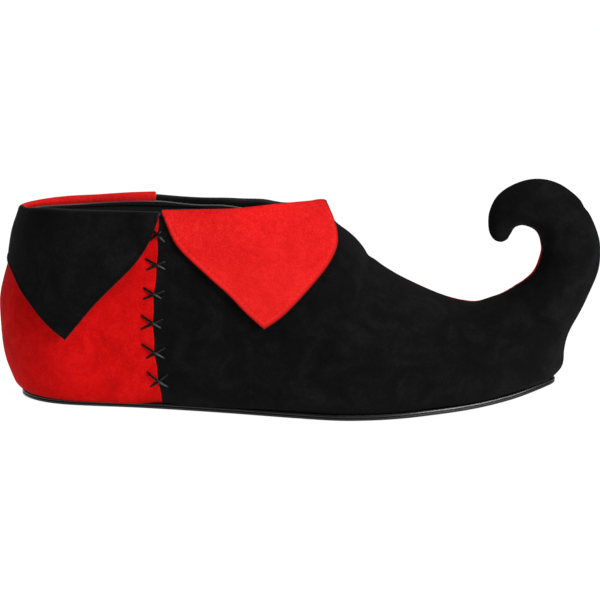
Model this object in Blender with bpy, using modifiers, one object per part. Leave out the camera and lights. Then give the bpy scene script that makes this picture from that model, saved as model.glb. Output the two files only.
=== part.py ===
# Right jester shoe: red and black suede, a curled toe and four pointed lapels on a thin rubber sole.
# The shoe's own frame runs along from the back of the sole to the toe (+X) and up from the floor (+Z).
# Its outer (lateral) side is -Y and its inner (medial) side is +Y of the centre seam.

import math
from collections import namedtuple

import bmesh
import bpy
import numpy as np
from mathutils import Matrix, Vector

MM = 0.001

# Main sizes, in millimetres
SOLE_LENGTH = 288.0
BALL_WIDTH = 98.0
INSTEP_HEIGHT = 107.0
SOLE_THICKNESS = 3.2
TOE_SPRING = 16.2
SPRING_START = 165.0
UPPER_WALL = 2.0
SEAT_GAP = 0.3
FEATHER_INSET = 3.0
INSOLE_INSET = 5.6
INSOLE_THICKNESS = 1.8

# Collar: the upper's open edge
COLLAR_RADIUS = 37.0
UPRIGHT_UNTIL = 85.0
RIDGE_SHARPNESS = 1.2
THROAT_CROWDING = 1.7
THROAT_COLUMNS = 7

# Middle of the whole shoe's box in the shoe's own frame
BOX_MIDDLE_ALONG = 148.0
BOX_MIDDLE_SIDE = -4.0

# Sections from heel to toe: along in per cent of the sole's length, half widths in per cent of the
# ball width, up in per cent of the instep height.  The sole columns are the edge of the sole, the
# swell columns the widest line of the upper, and the crown columns the line where a section closes.
Section = namedtuple("Section", "sole_along sole_outer sole_inner"
                     " swell_along swell_outer swell_inner swell_up crown_along crown_up")
SECTIONS = {
    "heel_back": Section(0.0, 0.0, 0.0, -4.65, 0.0, 0.0, 45.8, 11.5, 122.0),
    "heel_turn": Section(2.1, 19.3, 19.3, -1.4, 26.4, 26.2, 45.8, 11.5, 127.0),
    "heel_side": Section(7.5, 31.6, 31.2, 6.4, 41.0, 40.2, 44.9, 11.5, 138.0),
    "quarter": Section(15.6, 33.9, 32.4, 15.6, 42.1, 40.3, 43.0, 15.6, 150.0),
    "side_seam": Section(25.0, 35.3, 30.9, 25.0, 42.9, 38.8, 40.2, 25.0, 158.0),
    "waist": Section(36.5, 40.5, 31.4, 36.5, 46.4, 39.3, 34.6, 36.5, 147.0),
    "collar_turn": Section(43.5, 44.9, 34.1, 43.5, 49.8, 41.6, 31.6, 43.5, 117.0),
    "throat": Section(55.6, 52.3, 40.3, 55.6, 55.6, 46.4, 27.1, 55.6, 101.8),
    "instep": Section(63.5, 52.9, 45.4, 63.5, 55.4, 49.0, 25.2, 63.5, 79.2),
    "ball": Section(72.2, 49.0, 46.9, 72.2, 51.3, 49.5, 24.3, 72.2, 64.0),
    "saddle": Section(81.9, 38.8, 40.3, 81.9, 41.8, 42.9, 26.2, 81.9, 55.2),
    "toe": Section(91.0, 24.5, 26.5, 90.0, 31.0, 32.0, 30.8, 87.2, 57.8),
    "toe_turn": Section(97.2, 12.2, 13.3, 93.6, 24.8, 25.2, 36.0, 89.6, 60.9),
    "toe_tip": Section(100.0, 0.0, 0.0, 95.4, 21.3, 21.4, 40.8, 91.0, 63.2),
}

# Rings of the curled toe, from the prow over the crest to the tip: where each ring meets the outer
# and the inner seam of the curl, and its half width, in per cent of the same three sizes
Ring = namedtuple("Ring", "outer_along outer_up inner_along inner_up half_width")
CURL = {
    "prow": Ring(100.9, 26.2, 92.0, 64.5, 18.7),
    "bow": Ring(101.7, 38.3, 93.3, 67.1, 16.2),
    "neck_low": Ring(103.8, 50.9, 94.9, 72.1, 14.4),
    "neck": Ring(105.8, 63.1, 96.1, 78.5, 13.5),
    "bend_low": Ring(107.2, 75.7, 96.5, 84.3, 13.2),
    "bend": Ring(106.9, 88.8, 96.0, 89.3, 13.0),
    "bend_high": Ring(104.7, 102.8, 94.9, 92.9, 12.7),
    "crest_front": Ring(100.7, 114.5, 93.4, 94.6, 12.2),
    "crest": Ring(95.3, 118.7, 92.2, 94.7, 11.3),
    "crest_back": Ring(90.3, 114.7, 91.1, 93.2, 9.8),
    "fall": Ring(87.3, 106.1, 90.5, 90.7, 7.8),
    "fall_low": Ring(86.6, 96.7, 90.1, 88.8, 5.7),
    "nose": Ring(87.0, 90.2, 89.8, 87.5, 4.0),
    "tip": Ring(88.4, 86.4, 88.4, 86.4, 0.0),
}

# Height of the collar's rim at the sections from the heel to the throat, in per cent of the instep
# height: it rises to the throat on the outer side and sags before it on the inner side
OUTER, INNER = -1, 1
RIM = {
    OUTER: (94.0, 94.6, 95.8, 97.1, 98.0, 99.9, 102.2, 101.8),
    INNER: (94.0, 93.6, 93.2, 94.6, 95.3, 94.7, 94.8, 101.8),
}

# Side of the sole from the tread up: how far each line lies inside the sole's edge, in millimetres
EdgeLine = namedtuple("EdgeLine", "inset up")
SOLE_SIDE = (
    EdgeLine(1.0, 0.0),
    EdgeLine(0.2, 0.7),
    EdgeLine(0.2, 1.4),
    EdgeLine(0.7, 1.7),
    EdgeLine(0.0, 2.0),
    EdgeLine(0.0, 2.7),
    EdgeLine(0.6, SOLE_THICKNESS),
)
INSOLE_SIDE = (EdgeLine(0.0, 0.0), EdgeLine(0.0, INSOLE_THICKNESS))

# Lapels folded out over the collar: the three corners of each flap as seen from the side, along the
# sole's edge and up, and how far its two edges bulge below straight lines, in millimetres
Lapel = namedtuple("Lapel", "side finish start_along start_up tip_along tip_up end_along end_up"
                   " start_bulge end_bulge")
LAPELS = {
    "lapel_lateral_rear": Lapel(OUTER, "black_suede", 0.0, 76.0, 26.2, 38.0, 71.2, 103.2, 1.5, 1.4),
    "lapel_lateral_front": Lapel(OUTER, "red_suede", 73.6, 101.5, 129.7, 48.0, 167.8, 92.0, 4.2, 4.2),
    "lapel_medial_rear": Lapel(INNER, "red_suede", 0.0, 76.0, 26.2, 38.0, 70.4, 101.0, 1.5, 1.4),
    "lapel_medial_front": Lapel(INNER, "black_suede", 73.6, 100.5, 129.7, 48.0, 167.8, 92.0, 4.2, 4.2),
}
LAPEL_THICKNESS = 1.8
LAPEL_GAP = 0.6
LAPEL_SPRING = 2.2
LAPEL_INNER_LEG = 2.2
LEG_SPRING = 0.8
LAPEL_PARTING = 0.6

# Thong crosses down each side seam, whose line bows forward above and below its middle
CROSS_COUNT = 6
CROSS_TOP_UP = 93.2
CROSS_PITCH = 15.4
CROSS_HALF_LENGTH = 6.2
TOP_CROSS_HALF_LENGTH = 3.6
CROSS_HALF_HEIGHT = 3.6
THONG_WIDTH = 1.3
THONG_THICKNESS = 1.0
SEAM_ALONG = 69.6
SEAM_BOW = 3.2
SEAM_BOW_REACH = 42.0
SEAM_MIDDLE_UP = 58.0

# Colours and finish
Finish = namedtuple("Finish", "colour roughness")
FINISHES = {
    "red_suede": Finish((0.57, 0.009, 0.009), 0.9),
    "black_suede": Finish((0.010, 0.010, 0.011), 0.9),
    "black_rubber": Finish((0.012, 0.012, 0.012), 0.45),
    "insole_board": Finish((0.02, 0.02, 0.02), 0.8),
    "waxed_thong": Finish((0.015, 0.015, 0.015), 0.5),
}

SECTION_ORDER = list(SECTIONS)
SEAM_STATION = SECTION_ORDER.index("side_seam")
QUARTER_STATION = SECTION_ORDER.index("quarter")
THROAT_STATION = SECTION_ORDER.index("throat")
TOE_STATION = len(SECTIONS) - 1
TIP_STATION = TOE_STATION + len(CURL)


# Smooth curve through evenly numbered values, with no bend at its two ends
def spline(values):
    values = np.asarray(values, float)
    count = len(values)
    system = np.eye(count)
    pull = np.zeros(count)
    for row in range(1, count - 1):
        system[row, row - 1:row + 2] = 1, 4, 1
        pull[row] = 6 * (values[row - 1] - 2 * values[row] + values[row + 1])
    bend = np.linalg.solve(system, pull)

    def at(station):
        low = np.clip(np.floor(station).astype(int), 0, count - 2)
        share = station - low
        rest = 1 - share
        line = rest * values[low] + share * values[low + 1]
        return line + ((rest ** 3 - rest) * bend[low] + (share ** 3 - share) * bend[low + 1]) / 6

    return at


# Curve with two more values past each end, so that it runs on smoothly round the heel or the tip
def run_on(values, before, after):
    curve = spline(list(before[1::-1]) + list(values) + list(after[:2]))
    return lambda station: curve(np.asarray(station, float) + 2)


def mirrored(values, heel_sign, tip_sign):
    values = np.asarray(values, float)
    return run_on(values, heel_sign * values[1:3], tip_sign * values[-2:-4:-1])


def column(rows, name, size):
    return np.array([getattr(row, name) for row in rows.values()]) * size / 100


sole_along = column(SECTIONS, "sole_along", SOLE_LENGTH)
crown_along = column(SECTIONS, "crown_along", SOLE_LENGTH)
crown_up = column(SECTIONS, "crown_up", INSTEP_HEIGHT)
outer_along = column(CURL, "outer_along", SOLE_LENGTH)
outer_up = column(CURL, "outer_up", INSTEP_HEIGHT)
inner_along = column(CURL, "inner_along", SOLE_LENGTH)
inner_up = column(CURL, "inner_up", INSTEP_HEIGHT)
ring_width = column(CURL, "half_width", BALL_WIDTH)

sole_edge_along = mirrored(sole_along, 1, 1)
sole_edge_side = {
    OUTER: mirrored(column(SECTIONS, "sole_outer", BALL_WIDTH), -1, -1),
    INNER: mirrored(column(SECTIONS, "sole_inner", BALL_WIDTH), -1, -1),
}


# Rail over body and curl together; past the tip the inner seam runs on into the outer one
def rail(body, curl, past_tip, heel_sign=1):
    values = np.concatenate([body, curl])
    return run_on(values, heel_sign * values[1:3], past_tip[-2:-4:-1])


swell_along = rail(column(SECTIONS, "swell_along", SOLE_LENGTH), (outer_along + inner_along) / 2,
                   (outer_along + inner_along) / 2)
swell_up = rail(column(SECTIONS, "swell_up", INSTEP_HEIGHT), (outer_up + inner_up) / 2,
                (outer_up + inner_up) / 2)
swell_side = {
    OUTER: rail(column(SECTIONS, "swell_outer", BALL_WIDTH), ring_width, -ring_width, -1),
    INNER: rail(column(SECTIONS, "swell_inner", BALL_WIDTH), ring_width, -ring_width, -1),
}
crown_line_along = rail(crown_along, inner_along, outer_along)
crown_line_up = rail(crown_up, inner_up, outer_up)


def toe_spring(along):
    rise = np.clip(along - SPRING_START, 0, None) / (SOLE_LENGTH - SPRING_START)
    return TOE_SPRING * rise ** 2


def smooth_step(low, high, value):
    share = np.clip((value - low) / (high - low), 0, 1)
    return share * share * (3 - 2 * share)


# Point of the sole's outline, moved in from the edge at right angles to it
def sole_outline(side, station, inset):
    step = 1e-3
    run_along = sole_edge_along(station + step) - sole_edge_along(station - step)
    run_side = sole_edge_side[side](station + step) - sole_edge_side[side](station - step)
    length = np.hypot(run_along, run_side)
    along = sole_edge_along(station) + inset * run_side / length
    across = sole_edge_side[side](station) - inset * run_along / length
    return along, np.where(across < 1e-6, 0, across)


prow_start_along = sole_outline(OUTER, np.array([float(TOE_STATION)]), FEATHER_INSET)[0]
prow_start_up = toe_spring(prow_start_along) + SOLE_THICKNESS + SEAT_GAP
prow_along = run_on(np.concatenate([prow_start_along, outer_along]),
                    2 * prow_start_along - outer_along[:2], inner_along[-2:-4:-1])
prow_up = run_on(np.concatenate([prow_start_up, outer_up]),
                 2 * prow_start_up - outer_up[:2], inner_up[-2:-4:-1])


# Lower edge of the upper: the feather line on the sole, then the outer seam of the curl
def upper_foot(side, station):
    on_sole = np.clip(station, 0, TOE_STATION)
    on_prow = np.clip(station - TOE_STATION, 0, None)
    along, across = sole_outline(side, on_sole, FEATHER_INSET)
    up = toe_spring(along) + SOLE_THICKNESS + SEAT_GAP
    past = station > TOE_STATION
    return (np.where(past, prow_along(on_prow), along), np.where(past, 0, across),
            np.where(past, prow_up(on_prow), up))


# The rim of one side runs on into that of the other round the heel and at the throat
def rim_line(side):
    own, other = (np.array(RIM[end]) * INSTEP_HEIGHT / 100 for end in (side, -side))
    return run_on(own, other[1:3], other[-2:-4:-1])


rim_lines = {side: rim_line(side) for side in (OUTER, INNER)}


def rim_up(side, station):
    return rim_lines[side](np.clip(station, 0, THROAT_STATION))


# Outer face of the upper.  The turn runs from -1 at the foot, through 0 at the swell, to 1 at the
# crown: a quarter ellipse below the swell, and above it an ellipse that becomes an upright collar.
def upper_face(side, station, turn):
    station, turn = np.broadcast_arrays(np.asarray(station, float), np.asarray(turn, float))
    foot_along, foot_across, foot_up = upper_foot(side, station)
    wide_along, wide_up = swell_along(station), swell_up(station)
    wide_across = swell_side[side](station)
    top_along, top_up = crown_line_along(station), crown_line_up(station)

    sharp = 1 + (RIDGE_SHARPNESS - 1) * smooth_step(SEAM_STATION, THROAT_STATION + 1, station)
    low = np.clip(1 + turn, 0, 1) * math.pi / 2
    high = np.clip(turn, 0, 1) * math.pi / 2
    out = np.sin(low) ** sharp
    rise = 1 - np.cos(low)
    climb = np.sin(high)
    close = np.clip(np.cos(high), 0, 1) ** sharp

    reach = np.hypot(wide_along - top_along, wide_across) * (station < THROAT_STATION) + 1e-9
    collar = 1 - smooth_step(UPRIGHT_UNTIL, sole_edge_along(np.array(float(THROAT_STATION))),
                             sole_edge_along(np.clip(station, 0, TOE_STATION)))
    collar = collar * (station < THROAT_STATION)
    height = wide_up + (top_up - wide_up) * climb
    upright = smooth_step(wide_up, rim_up(side, station), height)
    draw_in = 1 - COLLAR_RADIUS / np.maximum(reach, COLLAR_RADIUS)
    close = close * (1 - collar) + collar * (1 - draw_in * upright)

    round_heel = 1 - smooth_step(QUARTER_STATION - 0.5, QUARTER_STATION + 0.5, station)
    swing = rise + (out - rise) * round_heel
    lean = climb + (1 - close - climb) * round_heel
    above = turn > 0
    along = np.where(above, wide_along + (top_along - wide_along) * lean,
                     foot_along + (wide_along - foot_along) * swing)
    across = np.where(above, wide_across * close, foot_across + (wide_across - foot_across) * out)
    up = np.where(above, height, foot_up + (wide_up - foot_up) * rise)
    return np.stack([along, side * across, up], axis=-1)


# Turn at which a section reaches the collar's rim, or 1 where it closes at the ridge
def rim_turn(side, station):
    station = np.asarray(station, float)
    behind = np.minimum(station, THROAT_STATION)
    share = (rim_up(side, behind) - swell_up(behind)) / (crown_line_up(behind) - swell_up(behind))
    share = np.where(station < THROAT_STATION, np.clip(share, 0, 1), 1)
    return np.arcsin(share) * 2 / math.pi


# Turn at which a section reaches a given height
def height_turn(side, station, up):
    foot_up = upper_foot(side, station)[2]
    wide_up, top_up = swell_up(station), crown_line_up(station)
    low = np.arccos(np.clip(1 - (up - foot_up) / (wide_up - foot_up), -1, 1))
    high = np.arcsin(np.clip((up - wide_up) / (top_up - wide_up), -1, 1))
    return np.where(up < wide_up, low * 2 / math.pi - 1, high * 2 / math.pi)


def station_at(along):
    numbers = np.linspace(0, TOE_STATION, 2401)
    return np.interp(along, sole_edge_along(numbers), numbers)


# Direction straight out of the upper's face
def upper_normal(side, station, turn):
    step = 1e-3
    forward = upper_face(side, station + step, turn) - upper_face(side, station - step, turn)
    upward = upper_face(side, station, np.minimum(turn + step, 1)) - upper_face(side, station, turn - step)
    return unit(-side * np.cross(forward, upward))


def unit(vectors):
    return vectors / np.linalg.norm(vectors, axis=-1, keepdims=True)


# Stations for a grid along the shoe, closer together where the collar turns at the throat
def stations(per_section, per_ring):
    heel = np.linspace(0, THROAT_STATION - 1, (THROAT_STATION - 1) * per_section + 1)
    throat = THROAT_STATION - np.linspace(1, 0, THROAT_COLUMNS + 1)[1:] ** THROAT_CROWDING
    vamp = np.linspace(THROAT_STATION, TOE_STATION, (TOE_STATION - THROAT_STATION) * per_section + 1)[1:]
    curl = np.linspace(TOE_STATION, TIP_STATION, len(CURL) * per_ring + 1)[1:]
    return np.concatenate([heel, throat, vamp, curl])


# Grid of quads bent to a shape given as a function of its two shares, both from 0 to 1
def bend_grid(mesh, columns, rows, shape, material=None):
    made = bmesh.ops.create_grid(mesh, x_segments=columns, y_segments=rows, size=1.0)
    verts = made["verts"]
    share = np.array([vert.co for vert in verts])[:, :2] / 2 + 0.5
    points = shape(share[:, 0], share[:, 1]) * MM
    if material:
        for face in {face for vert in verts for face in vert.link_faces}:
            face.material_index = material(face.calc_center_median().x / 2 + 0.5)
    for vert, point in zip(verts, points):
        vert.co = point


def make_object(name, data, collection, parent, *finishes):
    thing = bpy.data.objects.new(name, data)
    for finish in finishes:
        data.materials.append(bpy.data.materials[finish])
    collection.objects.link(thing)
    thing.parent = parent
    return thing


# Closed mesh from bent grids: welds the shared edges and turns all faces outwards
def close_mesh(name, mesh):
    bmesh.ops.remove_doubles(mesh, verts=mesh.verts, dist=0.00001)
    bmesh.ops.recalc_face_normals(mesh, faces=mesh.faces)
    data = bpy.data.meshes.new(name)
    mesh.to_mesh(data)
    mesh.free()
    data.shade_smooth()
    data.set_sharp_from_angle(angle=math.radians(40))
    return data


def make_materials():
    for name, finish in FINISHES.items():
        material = bpy.data.materials.new(name)
        material.use_nodes = True
        shader = material.node_tree.nodes["Principled BSDF"]
        shader.inputs["Base Color"].default_value = (*finish.colour, 1)
        shader.inputs["Roughness"].default_value = finish.roughness
        shader.inputs["Metallic"].default_value = 0.0


# Plate with the sole's outline: a side profile carried round it, closed by a top and a bottom
def plate_mesh(name, side_lines, inset, base_up, per_section):
    count = TOE_STATION * per_section
    insets = np.array([line.inset for line in side_lines]) + inset
    heights = np.array([line.up for line in side_lines]) + base_up
    mesh = bmesh.new()

    def place(side, station, line):
        station = np.round(station * per_section) / per_section
        along, across = sole_outline(side, station, insets[line])
        return np.stack([along, side * across, toe_spring(along) + heights[line]], axis=-1)

    for side in (OUTER, INNER):
        def wall(share, rise, side=side):
            return place(side, share * TOE_STATION, np.rint(rise * (len(side_lines) - 1)).astype(int))
        bend_grid(mesh, count, len(side_lines) - 1, wall)
    for line in (0, len(side_lines) - 1):
        def cap(share, across, line=line):
            ends = [place(side, share * TOE_STATION, np.full(len(share), line)) for side in (OUTER, INNER)]
            return ends[0] + (ends[1] - ends[0]) * across[:, None]
        bend_grid(mesh, count, 1, cap)
    return close_mesh(name, mesh)


# Sewn shell of the upper: both sides meet on the centre seams, open at the collar and underneath
def upper_mesh(per_section, per_ring, low_rows, high_rows):
    along = stations(per_section, per_ring)
    rows = low_rows + high_rows
    mesh = bmesh.new()
    for side in (OUTER, INNER):
        def shell(share, rise, side=side):
            station = along[np.rint(share * (len(along) - 1)).astype(int)]
            row = np.rint(rise * rows)
            turn = np.where(row < low_rows, row / low_rows - 1,
                            rim_turn(side, station) * (row - low_rows) / high_rows)
            return upper_face(side, station, turn)

        def panel(share, side=side):
            station = along[int(share * (len(along) - 1))]
            return int((station < SEAM_STATION) == (side == OUTER))
        bend_grid(mesh, len(along) - 1, rows, shell, panel)
    return close_mesh("upper", mesh)


# Middle surface of a lapel: a short leg inside the collar, a roll over its rim, and the pointed flap
def lapel_points(lapel, columns, roll_rows, flap_rows):
    throat_along = sole_edge_along(np.array(float(THROAT_STATION)))
    start, tip, end = station_at(np.array([lapel.start_along, lapel.tip_along, lapel.end_along]))
    towards_end = np.linspace(1, 0, columns + 1)[1:] ** THROAT_CROWDING
    edge_station = np.concatenate([np.linspace(start, tip, columns + 1), end - (end - tip) * towards_end])
    edge_along = sole_edge_along(edge_station)
    to_tip = (edge_along - lapel.start_along) / (lapel.tip_along - lapel.start_along)
    to_end = (edge_along - lapel.tip_along) / (lapel.end_along - lapel.tip_along)
    rear_up = lapel.start_up + (lapel.tip_up - lapel.start_up) * to_tip
    front_up = lapel.tip_up + (lapel.end_up - lapel.tip_up) * to_end
    edge_up = np.where(edge_along < lapel.tip_along, rear_up - lapel.start_bulge * 4 * to_tip * (1 - to_tip),
                       front_up - lapel.end_bulge * 4 * to_end * (1 - to_end))
    rim_end = min(lapel.end_along, throat_along)
    rim_share = (rim_end - lapel.start_along) / (lapel.end_along - lapel.start_along)
    rim_station = station_at(lapel.start_along + (edge_along - lapel.start_along) * rim_share)
    top_turn = rim_turn(lapel.side, rim_station)
    edge_turn = height_turn(lapel.side, edge_station, edge_up)

    share = np.linspace(0, 1, flap_rows + 1)
    station = rim_station[:, None] + (edge_station - rim_station)[:, None] * share
    turn = top_turn[:, None] + (edge_turn - top_turn)[:, None] * share
    face = upper_face(lapel.side, station, turn)
    normal = upper_normal(lapel.side, station, turn)
    drop = (face[:, :1, 2] - face[:, :, 2]) / (INSTEP_HEIGHT - lapel.tip_up)
    lift = LAPEL_GAP + LAPEL_THICKNESS / 2 + LAPEL_SPRING * np.clip(drop, 0, 1) ** 2
    flap = face + normal * lift[:, :, None]

    rim, out = face[:, 0], normal[:, 0]
    over = unit(np.cross(out, np.gradient(rim, axis=0)))
    over *= np.sign(np.sum(over * (rim - face[:, 1]), axis=1, keepdims=True))
    centre = rim - out * UPPER_WALL / 2
    radius = UPPER_WALL / 2 + LAPEL_GAP + LAPEL_THICKNESS / 2
    angles = np.linspace(math.pi, 0, roll_rows + 1)[:-1]
    roll = [centre + radius * (math.cos(angle) * out + math.sin(angle) * over) for angle in angles]
    leg_turn = height_turn(lapel.side, rim_station, rim[:, 2] - LAPEL_INNER_LEG * over[:, 2])
    inward = upper_normal(lapel.side, rim_station, leg_turn) * (UPPER_WALL / 2 + radius + LEG_SPRING)
    leg = upper_face(lapel.side, rim_station, leg_turn) - inward
    points = np.concatenate([leg[:, None], np.stack(roll, axis=1), flap], axis=1)
    points[:, :, 1] = lapel.side * np.maximum(lapel.side * points[:, :, 1], LAPEL_PARTING)
    return points


def lapel_mesh(name, lapel, columns, roll_rows, flap_rows):
    points = lapel_points(lapel, columns, roll_rows, flap_rows)
    last_column, last_row = points.shape[0] - 1, points.shape[1] - 1
    mesh = bmesh.new()

    def sheet(share, rise):
        return points[np.rint(share * last_column).astype(int), np.rint(rise * last_row).astype(int)]
    bend_grid(mesh, last_column, last_row, sheet)
    return close_mesh(name, mesh)


# Flat outline of one thong cross: two bars that meet in the middle
def cross_curve(name, half_length):
    reach = math.hypot(half_length, CROSS_HALF_HEIGHT)
    rise = math.atan2(CROSS_HALF_HEIGHT, half_length)
    turns = [rise, math.pi - rise, math.pi + rise, 2 * math.pi - rise, 2 * math.pi + rise]
    half = THONG_WIDTH / 2
    outline = []
    for turn, next_turn in zip(turns, turns[1:]):
        way = Vector((math.cos(turn), math.sin(turn)))
        across = Vector((-way.y, way.x))
        middle = (turn + next_turn) / 2
        crotch = half / math.sin((next_turn - turn) / 2)
        outline += [way * reach - across * half, way * reach + across * half,
                    Vector((math.cos(middle), math.sin(middle))) * crotch]
    data = bpy.data.curves.new(name, "CURVE")
    data.dimensions = "2D"
    data.fill_mode = "BOTH"
    data.extrude = THONG_THICKNESS / 2 * MM
    line = data.splines.new("POLY")
    line.points.add(len(outline) - 1)
    for point, corner in zip(line.points, outline):
        point.co = (corner.x * MM, corner.y * MM, 0, 1)
    line.use_cyclic_u = True
    return data


# Place on the side seam at one height: local X forward, Y up the wall, Z out of it
def seam_place(side, up):
    along = SEAM_ALONG + SEAM_BOW * ((up - SEAM_MIDDLE_UP) / SEAM_BOW_REACH) ** 2
    station = station_at(np.array(along))
    turn = height_turn(side, station, np.array(up))
    out = Vector(upper_normal(side, station, turn))
    spot = Vector(upper_face(side, station, turn)) + out * (SEAT_GAP + THONG_THICKNESS / 2)
    upward = (Vector((0, 0, 1)) - out * out.z).normalized()
    forward = upward.cross(out)
    place = Matrix((forward, upward, out)).transposed().to_4x4()
    place.translation = spot * MM
    return place


def build():
    for thing in list(bpy.data.objects):
        bpy.data.objects.remove(thing, do_unlink=True)
    make_materials()
    shoe = bpy.data.collections.new("jester_shoe")
    bpy.context.scene.collection.children.link(shoe)
    frame = bpy.data.objects.new("jester_shoe_frame", None)
    frame.location = (-BOX_MIDDLE_ALONG * MM, -BOX_MIDDLE_SIDE * MM, 0)
    shoe.objects.link(frame)

    sole = plate_mesh("outsole", SOLE_SIDE, 0.0, 0.0, 3)
    make_object("outsole", sole, shoe, frame, "black_rubber")
    board = plate_mesh("insole", INSOLE_SIDE, INSOLE_INSET, SOLE_THICKNESS + SEAT_GAP, 3)
    make_object("insole", board, shoe, frame, "insole_board")

    upper = make_object("upper", upper_mesh(3, 2, 4, 6), shoe, frame, "black_suede", "red_suede")
    wall = upper.modifiers.new("suede_wall", "SOLIDIFY")
    wall.thickness = UPPER_WALL * MM
    wall.offset = -1.0
    wall.use_even_offset = True

    for name, lapel in LAPELS.items():
        flap = make_object(name, lapel_mesh(name, lapel, 9, 5, 6), shoe, frame, lapel.finish)
        plies = flap.modifiers.new("suede_plies", "SOLIDIFY")
        plies.thickness = LAPEL_THICKNESS * MM
        plies.offset = 0.0
        plies.use_even_offset = True

    cross = cross_curve("thong_cross", CROSS_HALF_LENGTH)
    top_cross = cross_curve("thong_top_cross", TOP_CROSS_HALF_LENGTH)
    for data in (cross, top_cross):
        data.materials.append(bpy.data.materials["waxed_thong"])
    for side, side_name in ((OUTER, "lateral"), (INNER, "medial")):
        for number in range(CROSS_COUNT):
            name = f"cross_stitch_{side_name}_{number + 1}"
            thong = make_object(name, cross if number else top_cross, shoe, frame)
            thong.matrix_local = seam_place(side, CROSS_TOP_UP - number * CROSS_PITCH)


build()
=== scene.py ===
import math

import bmesh
import bpy
import numpy as np
from mathutils import Matrix, Vector


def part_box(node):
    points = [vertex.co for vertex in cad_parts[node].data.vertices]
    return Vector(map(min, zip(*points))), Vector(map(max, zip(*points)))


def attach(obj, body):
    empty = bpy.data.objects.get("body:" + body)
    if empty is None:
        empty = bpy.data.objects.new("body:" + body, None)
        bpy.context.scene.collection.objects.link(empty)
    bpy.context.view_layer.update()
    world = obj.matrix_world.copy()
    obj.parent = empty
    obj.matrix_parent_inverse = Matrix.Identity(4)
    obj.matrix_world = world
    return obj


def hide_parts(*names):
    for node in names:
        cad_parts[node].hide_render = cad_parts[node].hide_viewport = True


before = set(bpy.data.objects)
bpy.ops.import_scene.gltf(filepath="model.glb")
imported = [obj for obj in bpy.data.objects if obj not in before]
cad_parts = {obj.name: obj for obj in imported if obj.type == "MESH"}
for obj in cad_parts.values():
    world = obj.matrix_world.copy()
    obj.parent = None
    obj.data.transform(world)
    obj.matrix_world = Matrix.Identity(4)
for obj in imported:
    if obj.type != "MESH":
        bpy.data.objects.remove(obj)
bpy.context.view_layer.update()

mm = 0.001
lateral, medial = -1, 1
sideNames = {lateral: "lateral", medial: "medial"}

# Camera: a long lens square to the outer side, a little above it, rolled as the photo is
cameraView = {"elevation": 9.5, "roll": 2.0, "frameWidth": 324.0, "distance": 4000.0,
              "target": (0.6, 4.0, 56.2), "sensor": 36.0, "clipEnd": 50.0}


def makeCamera(view):
    data = bpy.data.cameras.new("sideCamera")
    data.sensor_width = view["sensor"]
    data.lens = view["sensor"] * view["distance"] / view["frameWidth"]
    data.clip_end = view["clipEnd"]
    camera = bpy.data.objects.new("sideCamera", data)
    rise = math.radians(view["elevation"])
    back = Vector((0, -math.cos(rise), math.sin(rise))) * view["distance"]
    camera.location = (Vector(view["target"]) + back) * mm
    turn = Matrix.Rotation(math.pi / 2 - rise, 3, "X") @ Matrix.Rotation(math.radians(view["roll"]), 3, "Z")
    camera.rotation_euler = turn.to_euler()
    bpy.context.scene.collection.objects.link(camera)
    bpy.context.scene.camera = camera


makeCamera(cameraView)
print("camera placed")

# The last, as in the solids: main sizes in mm, then sections and curl rings in per cent of them.
# Stations number the sections and rings in turn. A span's four values say where something starts,
# is full, fades and ends.
last = {"soleLength": 288.0, "ballWidth": 98.0, "instepHeight": 107.0, "soleThickness": 3.2,
        "toeSpring": 16.2, "springStart": 165.0, "springFlat": 1.1, "flatSpan": (215.0, 255.0, 262.0, 286.0),
        "wall": 2.0, "seatGap": 0.3, "featherInset": 3.0, "collarRadius": 37.0, "uprightUntil": 85.0,
        "ridgeSharpness": 1.2, "rimSag": 1.4, "rimSagSpan": (6.05, 6.5, 6.72, 6.98)}

sectionColumns = ("soleAlong", "soleOuter", "soleInner", "swellAlong", "swellOuter", "swellInner",
                  "swellUp", "crownAlong", "crownUp")
sections = {
    "heelBack": (0.0, 0.0, 0.0, -4.65, 0.0, 0.0, 45.8, 11.5, 122.0),
    "heelTurn": (2.1, 19.3, 19.3, -1.4, 26.4, 26.2, 45.8, 11.5, 127.0),
    "heelSide": (7.5, 31.6, 31.2, 6.4, 41.0, 40.2, 44.9, 11.5, 138.0),
    "quarter": (15.6, 33.9, 32.4, 15.6, 42.1, 40.3, 43.0, 15.6, 150.0),
    "sideSeam": (25.0, 35.3, 30.9, 25.0, 42.9, 38.8, 40.2, 25.0, 158.0),
    "waist": (36.5, 40.5, 31.4, 36.5, 46.4, 39.3, 34.6, 36.5, 147.0),
    "collarTurn": (43.5, 44.9, 34.1, 43.5, 49.8, 41.6, 31.6, 43.5, 117.0),
    "throat": (55.6, 52.3, 40.3, 55.6, 55.6, 46.4, 27.1, 55.6, 101.8),
    "instep": (63.5, 52.9, 45.4, 63.5, 55.4, 49.0, 25.2, 63.5, 79.2),
    "ball": (72.2, 49.0, 46.9, 72.2, 51.3, 49.5, 24.3, 72.2, 64.0),
    "saddle": (81.9, 38.8, 40.3, 81.9, 41.8, 42.9, 26.2, 81.9, 55.2),
    "toe": (91.0, 24.5, 26.5, 90.0, 31.0, 32.0, 30.8, 87.2, 57.8),
    "toeTurn": (97.2, 12.2, 13.3, 93.6, 24.8, 25.2, 36.0, 89.6, 60.9),
    "toeTip": (100.0, 0.0, 0.0, 95.4, 21.3, 21.4, 40.8, 91.0, 63.2),
}
ringColumns = ("outerAlong", "outerUp", "innerAlong", "innerUp", "halfWidth")
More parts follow.
